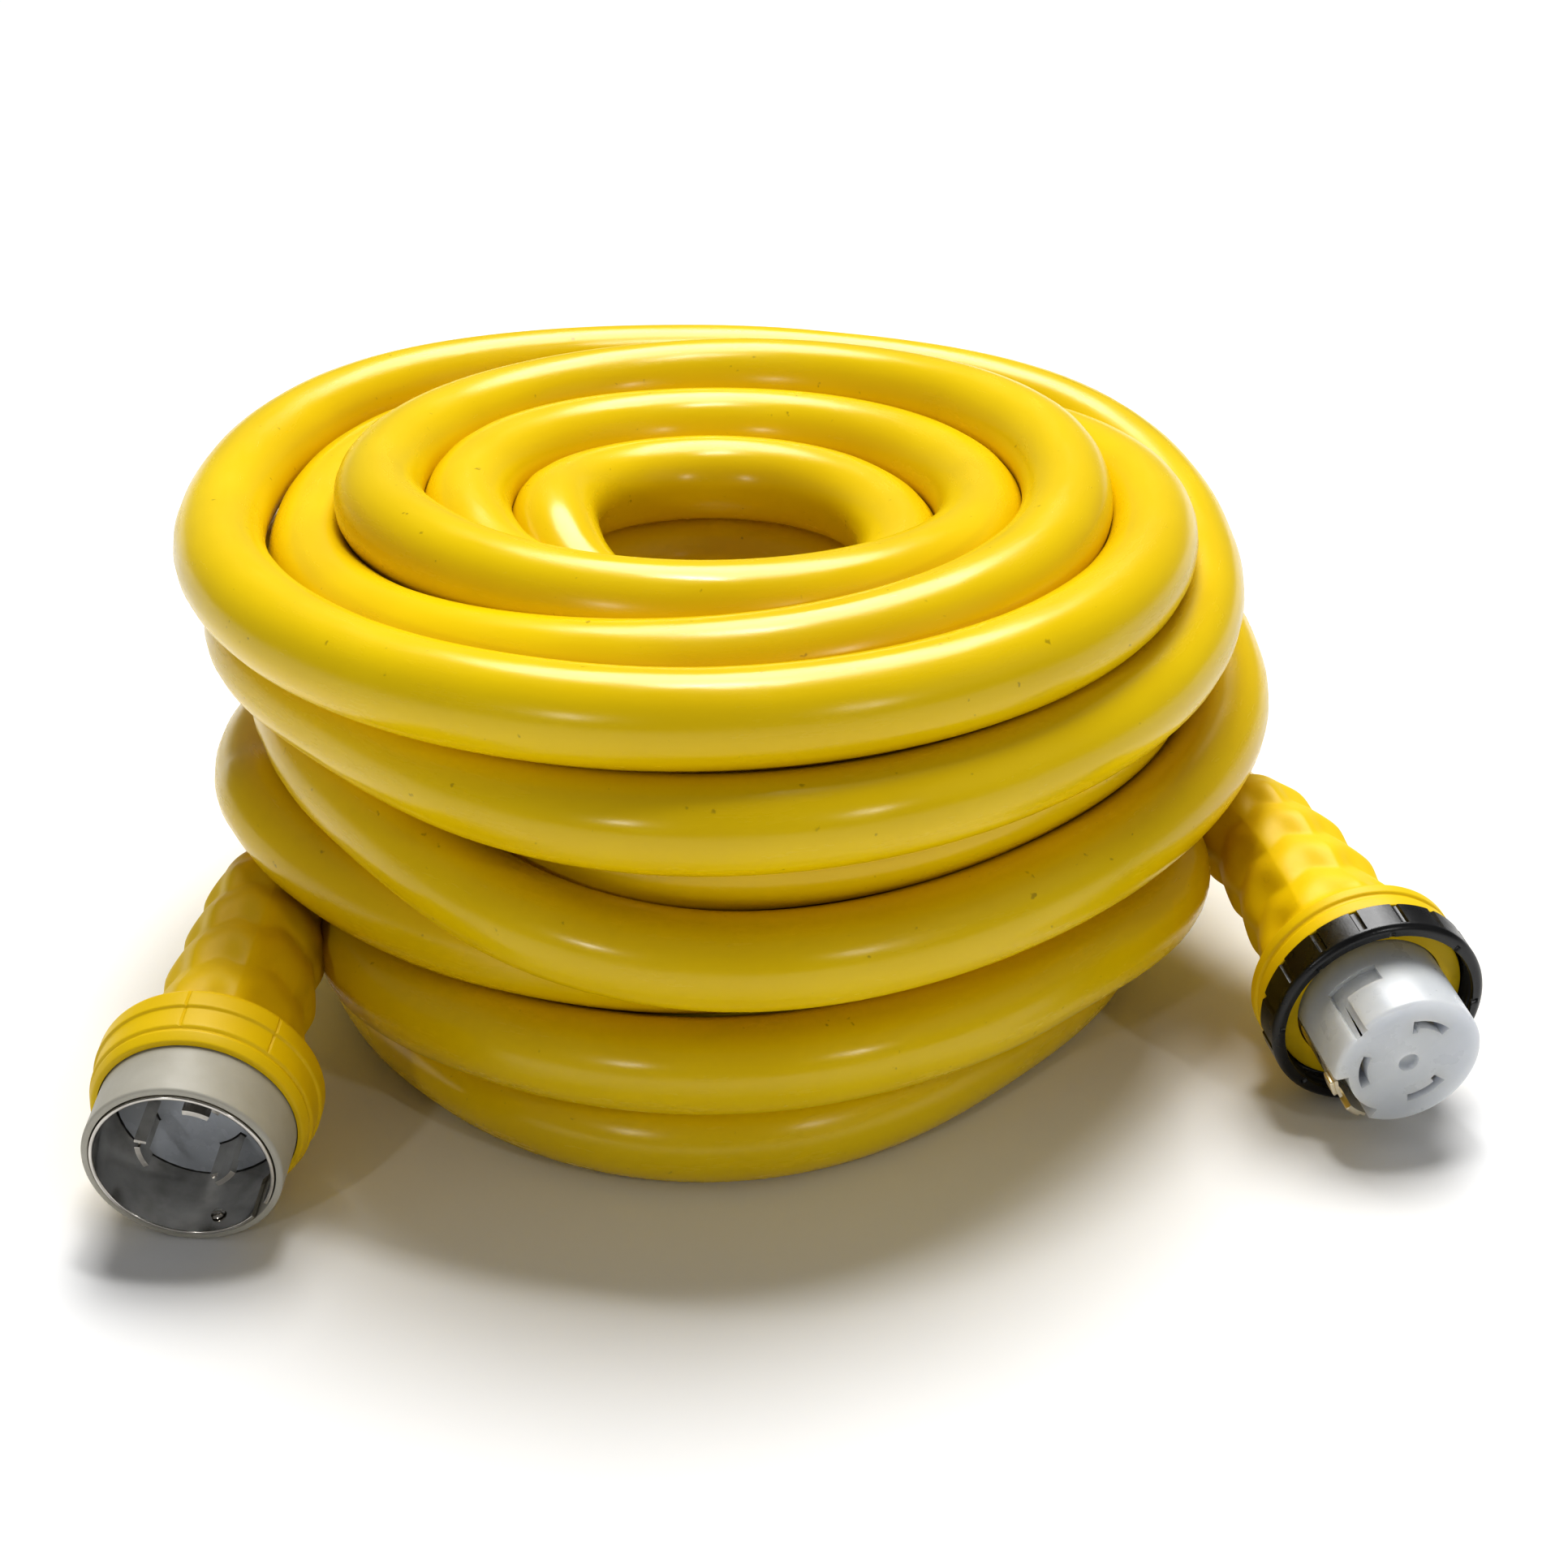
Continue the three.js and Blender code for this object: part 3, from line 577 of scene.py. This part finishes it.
def boot_look():
    """Satin moulded vinyl, a little more orange than the jacket, with a fine grain."""
    material, tree, surface = new_look("boot_yellow", 0.5)
    here = places(tree)
    tone = ranged(tree, noise(tree, here, 22, 4), 0.3, 0.7)
    colour = mixed(tree, tone, linear(224, 188, 0), linear(234, 200, 0))
    wear = ranged(tree, noise(tree, here, 120, 6, (1, 1, 1), 0.7), 0.66, 0.76)
    colour = mixed(tree, ranged(tree, wear, 0, 1, 0, 0.35), colour, linear(170, 138, 12))
    tree.links.new(colour, surface.inputs["Base Color"])
    rough = ranged(tree, noise(tree, here, 60, 5), 0.3, 0.7, 0.42, 0.58)
    tree.links.new(rough, surface.inputs["Roughness"])
    bump(tree, surface, noise(tree, here, 1100, 3), 0.00005, 0.6)
    bump(tree, surface, noise(tree, here, 90, 3), 0.0002, 0.35)
    surface.inputs["Specular IOR Level"].default_value = 0.3
    return material


def sleeve_look():
    """Matt grey-beige plastic, faintly mottled."""
    material, tree, surface = new_look("sleeve_grey", 0.55)
    here = places(tree)
    tone = ranged(tree, noise(tree, here, 45, 5), 0.3, 0.7)
    colour = mixed(tree, tone, linear(164, 160, 147), linear(178, 175, 164))
    mark = ranged(tree, noise(tree, here, 170, 4, (1, 1, 1), 0.7), 0.68, 0.76)
    colour = mixed(tree, ranged(tree, mark, 0, 1, 0, 0.4), colour, linear(140, 136, 122))
    tree.links.new(colour, surface.inputs["Base Color"])
    rough = ranged(tree, noise(tree, here, 120, 4), 0.3, 0.7, 0.46, 0.62)
    tree.links.new(rough, surface.inputs["Roughness"])
    bump(tree, surface, noise(tree, here, 900, 3), 0.00004, 0.6)
    return material


def metal_look(name, bright, dull, roughness, scale=70):
    """Bare or plated metal with faint tarnish."""
    material, tree, surface = new_look(name, roughness, 1.0)
    here = places(tree)
    tarnish = ranged(tree, noise(tree, here, scale, 5), 0.4, 0.75)
    tree.links.new(mixed(tree, tarnish, bright, dull), surface.inputs["Base Color"])
    rough = ranged(tree, noise(tree, here, scale * 2.5, 5), 0.3, 0.7, roughness * 0.75, roughness * 1.4)
    tree.links.new(rough, surface.inputs["Roughness"])
    bump(tree, surface, noise(tree, here, 800, 3), 0.00002, 0.5)
    return material


def plastic_look(name, colour, other, roughness, grain=0.00004):
    """Moulded plastic or insulation with a slight change of tone."""
    material, tree, surface = new_look(name, roughness)
    here = places(tree)
    tone = ranged(tree, noise(tree, here, 60, 4), 0.3, 0.7)
    tree.links.new(mixed(tree, tone, colour, other), surface.inputs["Base Color"])
    rough = ranged(tree, noise(tree, here, 150, 5), 0.3, 0.7, roughness * 0.8, roughness * 1.2)
    tree.links.new(rough, surface.inputs["Roughness"])
    bump(tree, surface, noise(tree, here, 1000, 3), grain, 0.6)
    return material


def nose_look():
    """Milky nylon that lets a little light in."""
    material, tree, surface = new_look("nose_white", 0.3)
    here = places(tree)
    tone = ranged(tree, noise(tree, here, 35, 4), 0.3, 0.7)
    colour = mixed(tree, tone, linear(196, 200, 205), linear(208, 211, 213))
    mark = ranged(tree, noise(tree, here, 130, 5, (1, 1, 1), 0.7), 0.68, 0.76)
    colour = mixed(tree, ranged(tree, mark, 0, 1, 0, 0.4), colour, linear(186, 182, 168))
    tree.links.new(colour, surface.inputs["Base Color"])
    rough = ranged(tree, noise(tree, here, 90, 5), 0.3, 0.7, 0.22, 0.42)
    tree.links.new(rough, surface.inputs["Roughness"])
    bump(tree, surface, noise(tree, here, 160, 3), 0.00015, 0.4)
    surface.inputs["Subsurface Weight"].default_value = 1.0
    surface.inputs["Subsurface Radius"].default_value = (1.0, 1.0, 1.1)
    surface.inputs["Subsurface Scale"].default_value = 0.012
    return material


def floor_look():
    """A pale matt floor, for the picture only."""
    material, tree, surface = new_look("floor_pale", 0.7)
    tone = ranged(tree, noise(tree, places(tree), 6, 3), 0.3, 0.7)
    colour = mixed(tree, tone, linear(238, 238, 238), linear(242, 242, 242))
    tree.links.new(colour, surface.inputs["Base Color"])
    return material


LOOKS = {
    "cable_jacket": cable_look(),
    "boot": boot_look(),
    "plug_sleeve": sleeve_look(),
    "nickel_plate": metal_look("nickel", linear(208, 204, 197), linear(160, 156, 148), 0.16),
    "plug_core": plastic_look("core_grey", linear(172, 177, 184), linear(184, 189, 196), 0.26),
    "locking_ring": plastic_look("ring_black", linear(7, 7, 8), linear(12, 12, 13), 0.3, 0.00006),
    "connector_nose": nose_look(),
    "brass": metal_look("brass_pale", linear(238, 228, 204), linear(206, 190, 156), 0.3),
    "copper": metal_look("copper_bright", linear(214, 140, 96), linear(160, 96, 60), 0.3),
    "steel": metal_look("zinc_steel", linear(200, 202, 204), linear(160, 162, 164), 0.3),
    "wire_hot_1": plastic_look("insulation_black", linear(28, 28, 28), linear(40, 40, 40), 0.4),
    "wire_hot_2": plastic_look("insulation_red", linear(176, 32, 26), linear(190, 44, 36), 0.4),
    "wire_neutral": plastic_look("insulation_white", linear(228, 228, 222), linear(238, 238, 234), 0.4),
    "wire_ground": plastic_look("insulation_green", linear(28, 118, 52), linear(40, 132, 64), 0.4),
}


def dress(obj, slot):
    """Gives a piece, or a CAD node, the finish of a material slot of the record."""
    obj.data.materials.clear()
    obj.data.materials.append(LOOKS[slot])


def dress_frame():
    for subpart in frame["record"]["subparts"]:
        dress(frame["nodes"][subpart["node"]], subpart["material_slot"])


# ---- the cable ----------------------------------------------------------------------


def make_cable(line):
    """The cable as a tube, with an attribute that runs along it and round it for its finish."""
    sides = 22
    radius = CABLE_D / 2
    tangent = np.gradient(line, axis=0)
    tangent /= np.linalg.norm(tangent, axis=1)[:, None]
    side = np.cross([0.0, 0.0, 1.0], tangent)
    side /= np.linalg.norm(side, axis=1)[:, None]
    over = np.cross(tangent, side)
    around = np.arange(sides) / sides * TURN
    ring = np.stack([np.cos(around), np.sin(around)], 1) * radius
    points = line[:, None] + ring[None, :, :1] * side[:, None] + ring[None, :, 1:] * over[:, None]
    faces = grid_faces(len(line), sides)
    faces.append(tuple(range(sides)))
    faces.append(tuple(len(line) * sides - 1 - k for k in range(sides)))
    cable = outward(add_object("cable", points.reshape(-1, 3), faces))
    along = np.concatenate([[0], np.cumsum(np.linalg.norm(np.diff(line, axis=0), axis=1))])
    lay = np.zeros((len(line), sides, 3), np.float32)
    lay[:, :, 0] = along[:, None]
    lay[:, :, 1:] = ring[None]
    attribute = cable.data.attributes.new("lay", "FLOAT_VECTOR", "POINT")
    attribute.data.foreach_set("vector", lay.reshape(-1))
    smooth(cable, 60)
    dress(cable, "cable_jacket")
    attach(cable, "cord")
    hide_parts("cable_coil", "cable_tail_plug", "cable_tail_connector")
    return cable


# ---- the boots -----------------------------------------------------------------------

FACETS = 8
FACET_ROW = 20.0
FACET_SHARE = 0.7
ROW_BULGE = 1.8


def facets(behind, radius, angle, first_row, phase, fade_in, fade_out):
    """The grip's surface: rows of eight flats, each row bulging between its two borders."""
    share = step_up(*fade_in, behind) * (1 - step_up(*fade_out, behind))
    if share == 0:
        return radius
    column = ((math.degrees(angle) - phase) / (360 / FACETS)) % 1 - 0.5
    bow = 0.1 * math.cos(TURN * column)
    row = ((behind - first_row) / FACET_ROW - bow) % 1
    bulge = ROW_BULGE * (0.6 * math.sin(math.pi * row) - 0.4 * math.cos(TURN * row) / 2 - 0.38)
    column = 0.4 * column + 0.3 * math.sin(math.pi * column)
    flat = math.cos(math.pi / FACETS) / math.cos(column * TURN / FACETS)
    flatter = radius * 1.035 * (1 - FACET_SHARE * (1 - flat))
    return radius + share * (flatter - radius + bulge)


def grip_line(knots):
    """The grip's plain outline, a point every millimetre or so, with its rounded rear end."""
    line = spline(knots, 9)
    return [tuple(p) for p in line]


GRIP_END = [(122, 17.9), (127, 17.2), (129.3, 16.3), (BOOT_LENGTH, 15.4)]
PLUG_GRIP = [(38.2, 32.0), (40.5, 27.8), (44, 24.6), (49, 22.6), (58, 21.8), (68, 21.4), (79, 20.8),
             (90, 20.1), (101, 19.4), (112, 18.6)] + GRIP_END
CONNECTOR_GRIP = [(44.5, 31.6), (47, 29.2), (50, 26.6), (54, 24.6), (60, 22.9), (70, 21.8), (80, 21),
                  (90, 20.2), (100, 19.5), (111, 18.7)] + GRIP_END
PLUG_FACETS = {"first_row": 46, "phase": 73, "fade_in": (42, 50), "fade_out": (118, 127)}
CONNECTOR_FACETS = {"first_row": 50, "phase": 39, "fade_in": (48, 56), "fade_out": (118, 127)}
COLLAR = {"start": 18, "end": 38, "inside": 30}
FLANGE_END = 45
LABEL_PANEL = {"angles": (46, 93), "half_width": 0.3, "depth": 0.4, "start": 23.4, "end": 37.5}


def plug_grip_shape(behind, radius, angle):
    """The collar's label panel, and the facets behind it."""
    if radius < BORE_R or behind < COLLAR["start"]:
        return behind, radius
    if behind < COLLAR["end"] and radius > COLLAR["inside"]:
        width = 2 * LABEL_PANEL["half_width"]
        for centre in LABEL_PANEL["angles"]:
            away = math.radians(abs(angle_off(angle, centre))) * radius
            if away < width and LABEL_PANEL["start"] < behind < LABEL_PANEL["end"]:
                radius -= LABEL_PANEL["depth"] * (1 - away / width)
        return behind, radius
    return behind, facets(behind, radius, angle, **PLUG_FACETS)


def plug_boot():
    """The plug's collar and grip, hollow for the sleeve, the conductors and the jacket."""
    collar = rounded([
        (18.5, 28.7, 0), (18.5, 30.2, 0.7), (22.0, 31.5, 0.6), (22.6, 31.1, 0.3), (23.4, 32.0, 0.5),
        (30.4, 32.2, 0.3), (31.0, 33, 0.4), (36.8, 33, 0.9), (38.2, 32, 0),
    ])
    bore = [(b, JACKET_R) for b in (BOOT_LENGTH, 104, 90, 74)]
    bore += [(72, 16.5), (58, 17), (46, 18.6), (40, 22.5), (37.8, 26.3), (30.3, 26.3), (30.3, 28.7)]
    outer = densified(collar[:-1] + grip_line(PLUG_GRIP))
    boot = turned("plug_grip", outer + bore, 360, plug_grip_shape, PLUG_BEND)
    return settle(boot, PLUG, "cord", "boot", ["plug_boot"])


def densified(outline, longest=1.6):
    """The outline with points added where two are far apart."""
    dense = [outline[0]]
    for start, end in zip(outline, outline[1:]):
        count = max(1, math.ceil(math.dist(start, end) / longest))
        for k in range(1, count + 1):
            t = k / count
            dense.append((start[0] + (end[0] - start[0]) * t, start[1] + (end[1] - start[1]) * t))
    return dense


def connector_grip_shape(behind, radius, angle):
    """The facets behind the flange."""
    if radius < BORE_R or behind < FLANGE_END:
        return behind, radius
    return behind, facets(behind, radius, angle, **CONNECTOR_FACETS)


def connector_boot():
    """The connector's flange, with the ring's groove, and its grip."""
    flange = rounded([
        (29.3, 23.1, 0), (29.3, 29.1, 0.6), (31, 29.1, 0.3), (31, 26.8, 0.3), (33.8, 26.8, 0.3),
        (33.8, 32.5, 0.6), (38.4, 32.5, 0.6), (39.0, 31.7, 0.3), (40.2, 31.7, 0.3), (40.8, 32.5, 0.6),
        (44.3, 32.5, 0.7), (44.6, 31.5, 0),
    ])
    bore = [(b, JACKET_R) for b in (BOOT_LENGTH, 104, 90, 78)]
    bore += [(76, 16.5), (60, 18), (54, 21), (51.8, 23.1)]
    outer = densified(flange[:-1] + grip_line(CONNECTOR_GRIP))
    boot = turned("connector_grip", outer + bore, 240, connector_grip_shape, CONNECTOR_BEND)
    return settle(boot, CONNECTOR, "cord", "boot", ["connector_boot"])


# ---- the plug's front --------------------------------------------------------------


def plug_sleeve():
    """The grey sleeve round the shell, with a rounded front edge."""
    outline = rounded([
        (SLEEVE["start"], SLEEVE["inner"], 0.3),
        (SLEEVE["start"], SLEEVE["outer"], 1.1),
        (SLEEVE["end"], SLEEVE["outer"], 0),
        (SLEEVE["end"], SLEEVE["inner"], 0),
    ], 6)
    sleeve = turned("plug_outer_sleeve", outline, 160)
    return settle(sleeve, PLUG, "cord", "plug_sleeve", ["plug_sleeve"])


def radial_turn(angle, behind):
    """The matrix that lays a turned piece along the radius at an angle, facing the axis."""
    return (Matrix.Translation((0, 0, -behind)) @ Matrix.Rotation(math.radians(angle), 4, "Z")
            @ Matrix.Rotation(math.radians(-90), 4, "Y"))


def plug_liner():
    """The plated shell: a rolled bright rim, the key slot and the rivet's hole."""
    outline = rounded([
        (0, SHELL["inner"], 0.5),
        (0, SHELL["outer"], 0.5),
        (SHELL["end"], SHELL["outer"], 0),
        (SHELL["end"], SHELL["inner"], 0),
    ], 5)
    liner = turned("plug_liner", outline, 160)
    reach = SHELL["inner"] + 0.6
    half = math.degrees(KEY_SLOT["width"] / 2 / reach)
    slot = sector("key_tool", reach - 3, reach + 3, KEY_SLOT["angle"] - half, KEY_SLOT["angle"] + half,
                  -2, KEY_SLOT["depth"], 1.0)
    bore = RIVET["shank"] + 0.3
    hole = turned("hole_tool", [(-28, 0), (-28, bore), (-22, bore), (-22, 0)], 20)
    hole.data.transform(Matrix.Scale(-1, 4, (0, 0, 1)))
    hole.data.transform(radial_turn(RIVET["angle"], RIVET["behind"]))
    outward(hole)
    carved(liner, [slot, hole])
    return settle(liner, PLUG, "cord", "nickel_plate", ["plug_ground_shell"])


def plug_rivet():
    """A domed rivet head with a screwdriver slot, seen on the shell's inside."""
    shank = RIVET["shank"]
    rivet = turned("plug_rivet", [
        (-25.9, 0), (-25.9, shank), (-24.4, shank), (-24.4, 2.1), (-24.1, 2.1), (-23.7, 1.75),
        (-23.45, 1.1), (-23.4, 0),
    ], 32)
    rivet.data.transform(Matrix.Scale(-1, 4, (0, 0, 1)))
    rivet.data.transform(radial_turn(RIVET["angle"], RIVET["behind"]))
    outward(rivet)
    first, last = RIVET["angle"] - RIVET_SLOT["half"], RIVET["angle"] + RIVET_SLOT["half"]
    carved(rivet, [sector("rivet_slot", RIVET_SLOT["inner"], RIVET_SLOT["outer"], first, last,
                          RIVET["behind"] - RIVET_SLOT["half_width"],
                          RIVET["behind"] + RIVET_SLOT["half_width"])])
    return settle(rivet, PLUG, "cord", "nickel_plate", ["plug_shell_rivet"])


def plug_blade(name, angle):
    """A curved locking blade, its tip further round than its stem, with eased edges."""
    neck = BLADE["tip"] + BLADE["hook"]
    blade = sector(f"blade_{name}", BLADE["inner"], BLADE["outer"],
                   angle + STEM["from"], angle + STEM["to"], neck - 1, BLADE["end"])
    head = sector("head_tool", BLADE["inner"], BLADE["outer"], angle - BLADE["half"], angle + BLADE["half"],
                  BLADE["tip"], neck)
    joined = [head]
    if name == "hot_1":
        joined.append(sector("foot_tool", FOOT["inner"], BLADE["outer"],
                             angle + FOOT["from"], angle + FOOT["to"], BLADE["tip"], BLADE["end"] - 1))
    carved(blade, joined, "UNION")
    bevel(merged(blade, 1e-3), 0.35, 2, 50)
    return settle(blade, PLUG, "cord", "nickel_plate", [f"plug_blade_{name}"])


# ---- the connector's front -------------------------------------------------------------


def ring_shape(behind, radius, angle):
    """Grip notches on the outside, small ticks on the front face, a thread in the bore."""
    outer, bore = RING["outer"], RING["bore"]
    degrees = math.degrees(angle)
    if radius > outer - 0.9 and behind > NOTCHES["start"] - 0.01:
        spacing = 360 / NOTCHES["count"]
        off = abs((degrees - NOTCHES["phase"] + spacing / 2) % spacing - spacing / 2)
        away = math.radians(off) * outer
        inside = 1 - step_up(NOTCHES["half_width"] - 0.25, NOTCHES["half_width"] + 0.25, away)
        return behind, radius - NOTCHES["depth"] * inside
    if behind < RING["start"] + 0.3 and radius < TICKS["reach"]:
        spacing = 360 / TICKS["count"]
        off = abs((degrees - TICKS["phase"] + spacing / 2) % spacing - spacing / 2)
        away = math.radians(off) * bore
        inside = 1 - step_up(TICKS["half_width"] - 0.2, TICKS["half_width"] + 0.2, away)
        return behind + TICKS["depth"] * inside, radius
    if radius == bore and behind > RING["start"] + 0.8:
        turn = (behind / THREAD["pitch"] - angle / TURN) % 1
        fade = step_up(RING["start"] + 0.8, RING["start"] + 1.6, behind)
        fade *= 1 - step_up(RING["end"] - RING["lip"] - 0.9, RING["end"] - RING["lip"] - 0.2, behind)
        return behind, radius + THREAD["depth"] * fade * (1 - abs(2 * turn - 1) ** 1.5)
    return behind, radius


def locking_ring():
    """The threaded ring, with its rounded front edge, notches, rear lip and bore."""
    start, end, outer, bore = RING["start"], RING["end"], RING["outer"], RING["bore"]
    lip, lip_r = end - RING["lip"], RING["lip_r"]
    front = [(start, bore + 0.3), (start, 30.6), (start, 31.2), (start, TICKS["reach"] + 0.1),
             (start + 0.25, 32.4), (start + 0.8, 33.0), (start + 1.3, 33.4), (start + 1.9, outer)]
    side = [(NOTCHES["start"] - 0.02, outer), (NOTCHES["start"] + 0.25, outer), (end - 0.5, outer),
            (end, outer - 0.5)]
    rear = [(end, lip_r + 0.3), (end - 0.3, lip_r), (lip + 0.3, lip_r), (lip, lip_r + 0.3)]
    rows = np.arange(lip, start + 0.5, -0.28)
    threads = [(float(b), bore) for b in rows]
    ring = turned("locking_ring_black", front + side + rear + threads, 480, ring_shape)
    return settle(ring, CONNECTOR, "ring", "locking_ring", ["locking_ring"])


def nose():
    """The white nose: hooked slots over pockets, a shallow dimple, the keyway and the clip's bed."""
    radius, length = NOSE["radius"], NOSE["length"]
    body = turned("nose_white", rounded([
        (0, 0, 0), (0, radius - 0.1, 1.5), (length, radius, 0.3), (length, 0, 0),
    ], 5), 160)
    past = 1
    tools = []
    for name, angle in CONTACT_ANGLES.items():
        first, last = angle - SLOT["half"], angle + SLOT["half"]
        tools.append(sector("slot", SLOT["inner"], SLOT["outer"], first, last, -past, SLOT["end"] + past))
        if name != "hot_1":
            tools.append(sector("slot_end", SLOT_END["inner"], SLOT["inner"] + 1,
                                last - SLOT_END["angle"], last, -past, SLOT["end"] - 0.6))
        tools.append(sector("pocket", POCKET["inner"], POCKET["outer"], first, last,
                            SLOT["end"], length + past))
    key_r = radius - KEYWAY["depth"]
    tools.append(sector("lead", key_r, radius + past, KEYWAY["turn"], KEYWAY["to"], -past, KEYWAY["end"]))
    tools.append(sector("arm", key_r, radius + past, KEYWAY["from"], KEYWAY["to"],
                        KEYWAY["start"], KEYWAY["end"]))
    tools.append(sector("bed", CLIP_RECESS["inner"], radius + past, CLIP["angle"] - CLIP_RECESS["half"],
                        CLIP["angle"] + CLIP_RECESS["half"], -past, CLIP["end"] + 1))
    tools.append(turned("dimple", rounded([
        (-past, 0, 0), (-past, DIMPLE["radius"], 0),
        (DIMPLE["depth"], DIMPLE["radius"], DIMPLE["rounding"]), (DIMPLE["depth"], 0, 0),
    ]), 40))
    for angle in SCREW_HOLES["angles"]:
        hole = turned("hole", [(SCREW_HOLES["start"], 0), (SCREW_HOLES["start"], SCREW_HOLES["size"]),
                               (length + past, SCREW_HOLES["size"]), (length + past, 0)], 20)
        hole.data.transform(Matrix.Rotation(math.radians(angle), 4, "Z")
                            @ Matrix.Translation((SCREW_HOLES["radius"], 0, 0)))
        tools.append(hole)
    carved(body, tools)
    bevel(merged(body, 1e-3), 0.3, 2, 38)
    return settle(body, CONNECTOR, "cord", "connector_nose", ["connector_nose"])


def clip():
    """The spring ground contact: a curved leaf, a window, and two fingers with raised pads."""
    inner, outer, angle = CLIP["inner"], CLIP["outer"], CLIP["angle"]
    leaf = sector("clip_brass", inner, outer, angle - CLIP["half"], angle + CLIP["half"],
                  CLIP["start"], CLIP["end"])
    pads = []
    for centre in (angle - CLIP_PAD["off"], angle + CLIP_PAD["off"]):
        pads.append(sector("pad", outer - CLIP_PAD["into"], outer + CLIP_PAD["raised"],
                           centre - CLIP_PAD["half"], centre + CLIP_PAD["half"],
                           CLIP_PAD["start"], CLIP_PAD["end"], rounding=0.5))
    carved(leaf, pads, "UNION")
    carved(leaf, [sector("window", inner - 1, outer + 2, angle - CLIP_WINDOW["half"],
                         angle + CLIP_WINDOW["half"], CLIP["start"] - 1, CLIP_WINDOW["end"])])
    bevel(merged(leaf, 1e-3), 0.18, 2, 40)
    return settle(leaf, CONNECTOR, "clip", "brass", ["ground_clip"])


# ---- the stage ---------------------------------------------------------------------------


# Places are metres from the coil's axis, sizes metres, powers watts and angles degrees.
CAMERA = {"place": (0.0233, -0.834, 0.466), "down": 26.1, "lens": 64.47, "sensor": 36}
AIM_HEIGHT = 0.08
FLOOR_HALF = 5.0
WORLD_STRENGTH = 0.12
SUN = {"strength": 2.4, "spread": 40, "tilt": (-30, 4)}
AREA_LIGHTS = [
    ("top", (0.05, 0.1, 1.4), (0.3, 0.1), 3.0),
    ("front_left", (-0.62, -1.25, 0.62), (0.045, 0.09), 1.1),
    ("front_right", (0.85, -1.1, 0.66), (0.045, 0.09), 1.1),
    ("right", (1.3, -0.5, 0.9), (0.8, 0.8), 0.3),
]
EXPOSURE = 0.3


def camera():
    """The view from in front and above."""
    data = bpy.data.cameras.new("camera")
    data.sensor_width = CAMERA["sensor"]
    data.lens = CAMERA["lens"]
    obj = bpy.data.objects.new("camera", data)
    obj.location = Vector(COIL_AXIS) + Vector(CAMERA["place"])
    obj.rotation_euler = (math.radians(90 - CAMERA["down"]), 0, 0)
    bpy.context.scene.collection.objects.link(obj)
    bpy.context.scene.camera = obj


def area_light(name, place, size, power):
    """A soft rectangular light that faces the coil."""
    data = bpy.data.lights.new(name, "AREA")
    data.shape = "RECTANGLE"
    data.size, data.size_y = size
    data.energy = power
    obj = bpy.data.objects.new(name, data)
    target = Vector(COIL_AXIS) + Vector((0, 0, AIM_HEIGHT))
    obj.location = Vector(COIL_AXIS) + Vector(place)
    obj.rotation_euler = (obj.location - target).to_track_quat("Z", "Y").to_euler()
    bpy.context.scene.collection.objects.link(obj)


def stage():
    """The floor, the lights and the view's tone."""
    half = FLOOR_HALF
    floor = add_object("floor", [(-half, -half, 0), (half, -half, 0), (half, half, 0), (-half, half, 0)],
                       [(0, 1, 2, 3)])
    floor.data.materials.append(floor_look())
    world = bpy.data.worlds.new("studio")
    bpy.context.scene.world = world
    world.use_nodes = True
    background = world.node_tree.nodes["Background"]
    background.inputs["Color"].default_value = (1, 1, 1, 1)
    background.inputs["Strength"].default_value = WORLD_STRENGTH
    sun = bpy.data.lights.new("sky", "SUN")
    sun.energy = SUN["strength"]
    sun.angle = math.radians(SUN["spread"])
    sky = bpy.data.objects.new("sky", sun)
    sky.rotation_euler = (*(math.radians(a) for a in SUN["tilt"]), 0)
    bpy.context.scene.collection.objects.link(sky)
    for light in AREA_LIGHTS:
        area_light(*light)
    view = bpy.context.scene.view_settings
    view.view_transform = "Standard"
    view.look = "Medium High Contrast"
    view.exposure = EXPOSURE


# ---- putting it together --------------------------------------------------------------------

camera()
stage()
dress_frame()
line = cable_line()
cable = make_cable(line)
plug_boot()
plug_sleeve()
plug_liner()
plug_rivet()
for name, angle in BLADE_ANGLES.items():
    plug_blade(name, angle)
connector_pieces = [connector_boot(), locking_ring(), nose(), clip()]
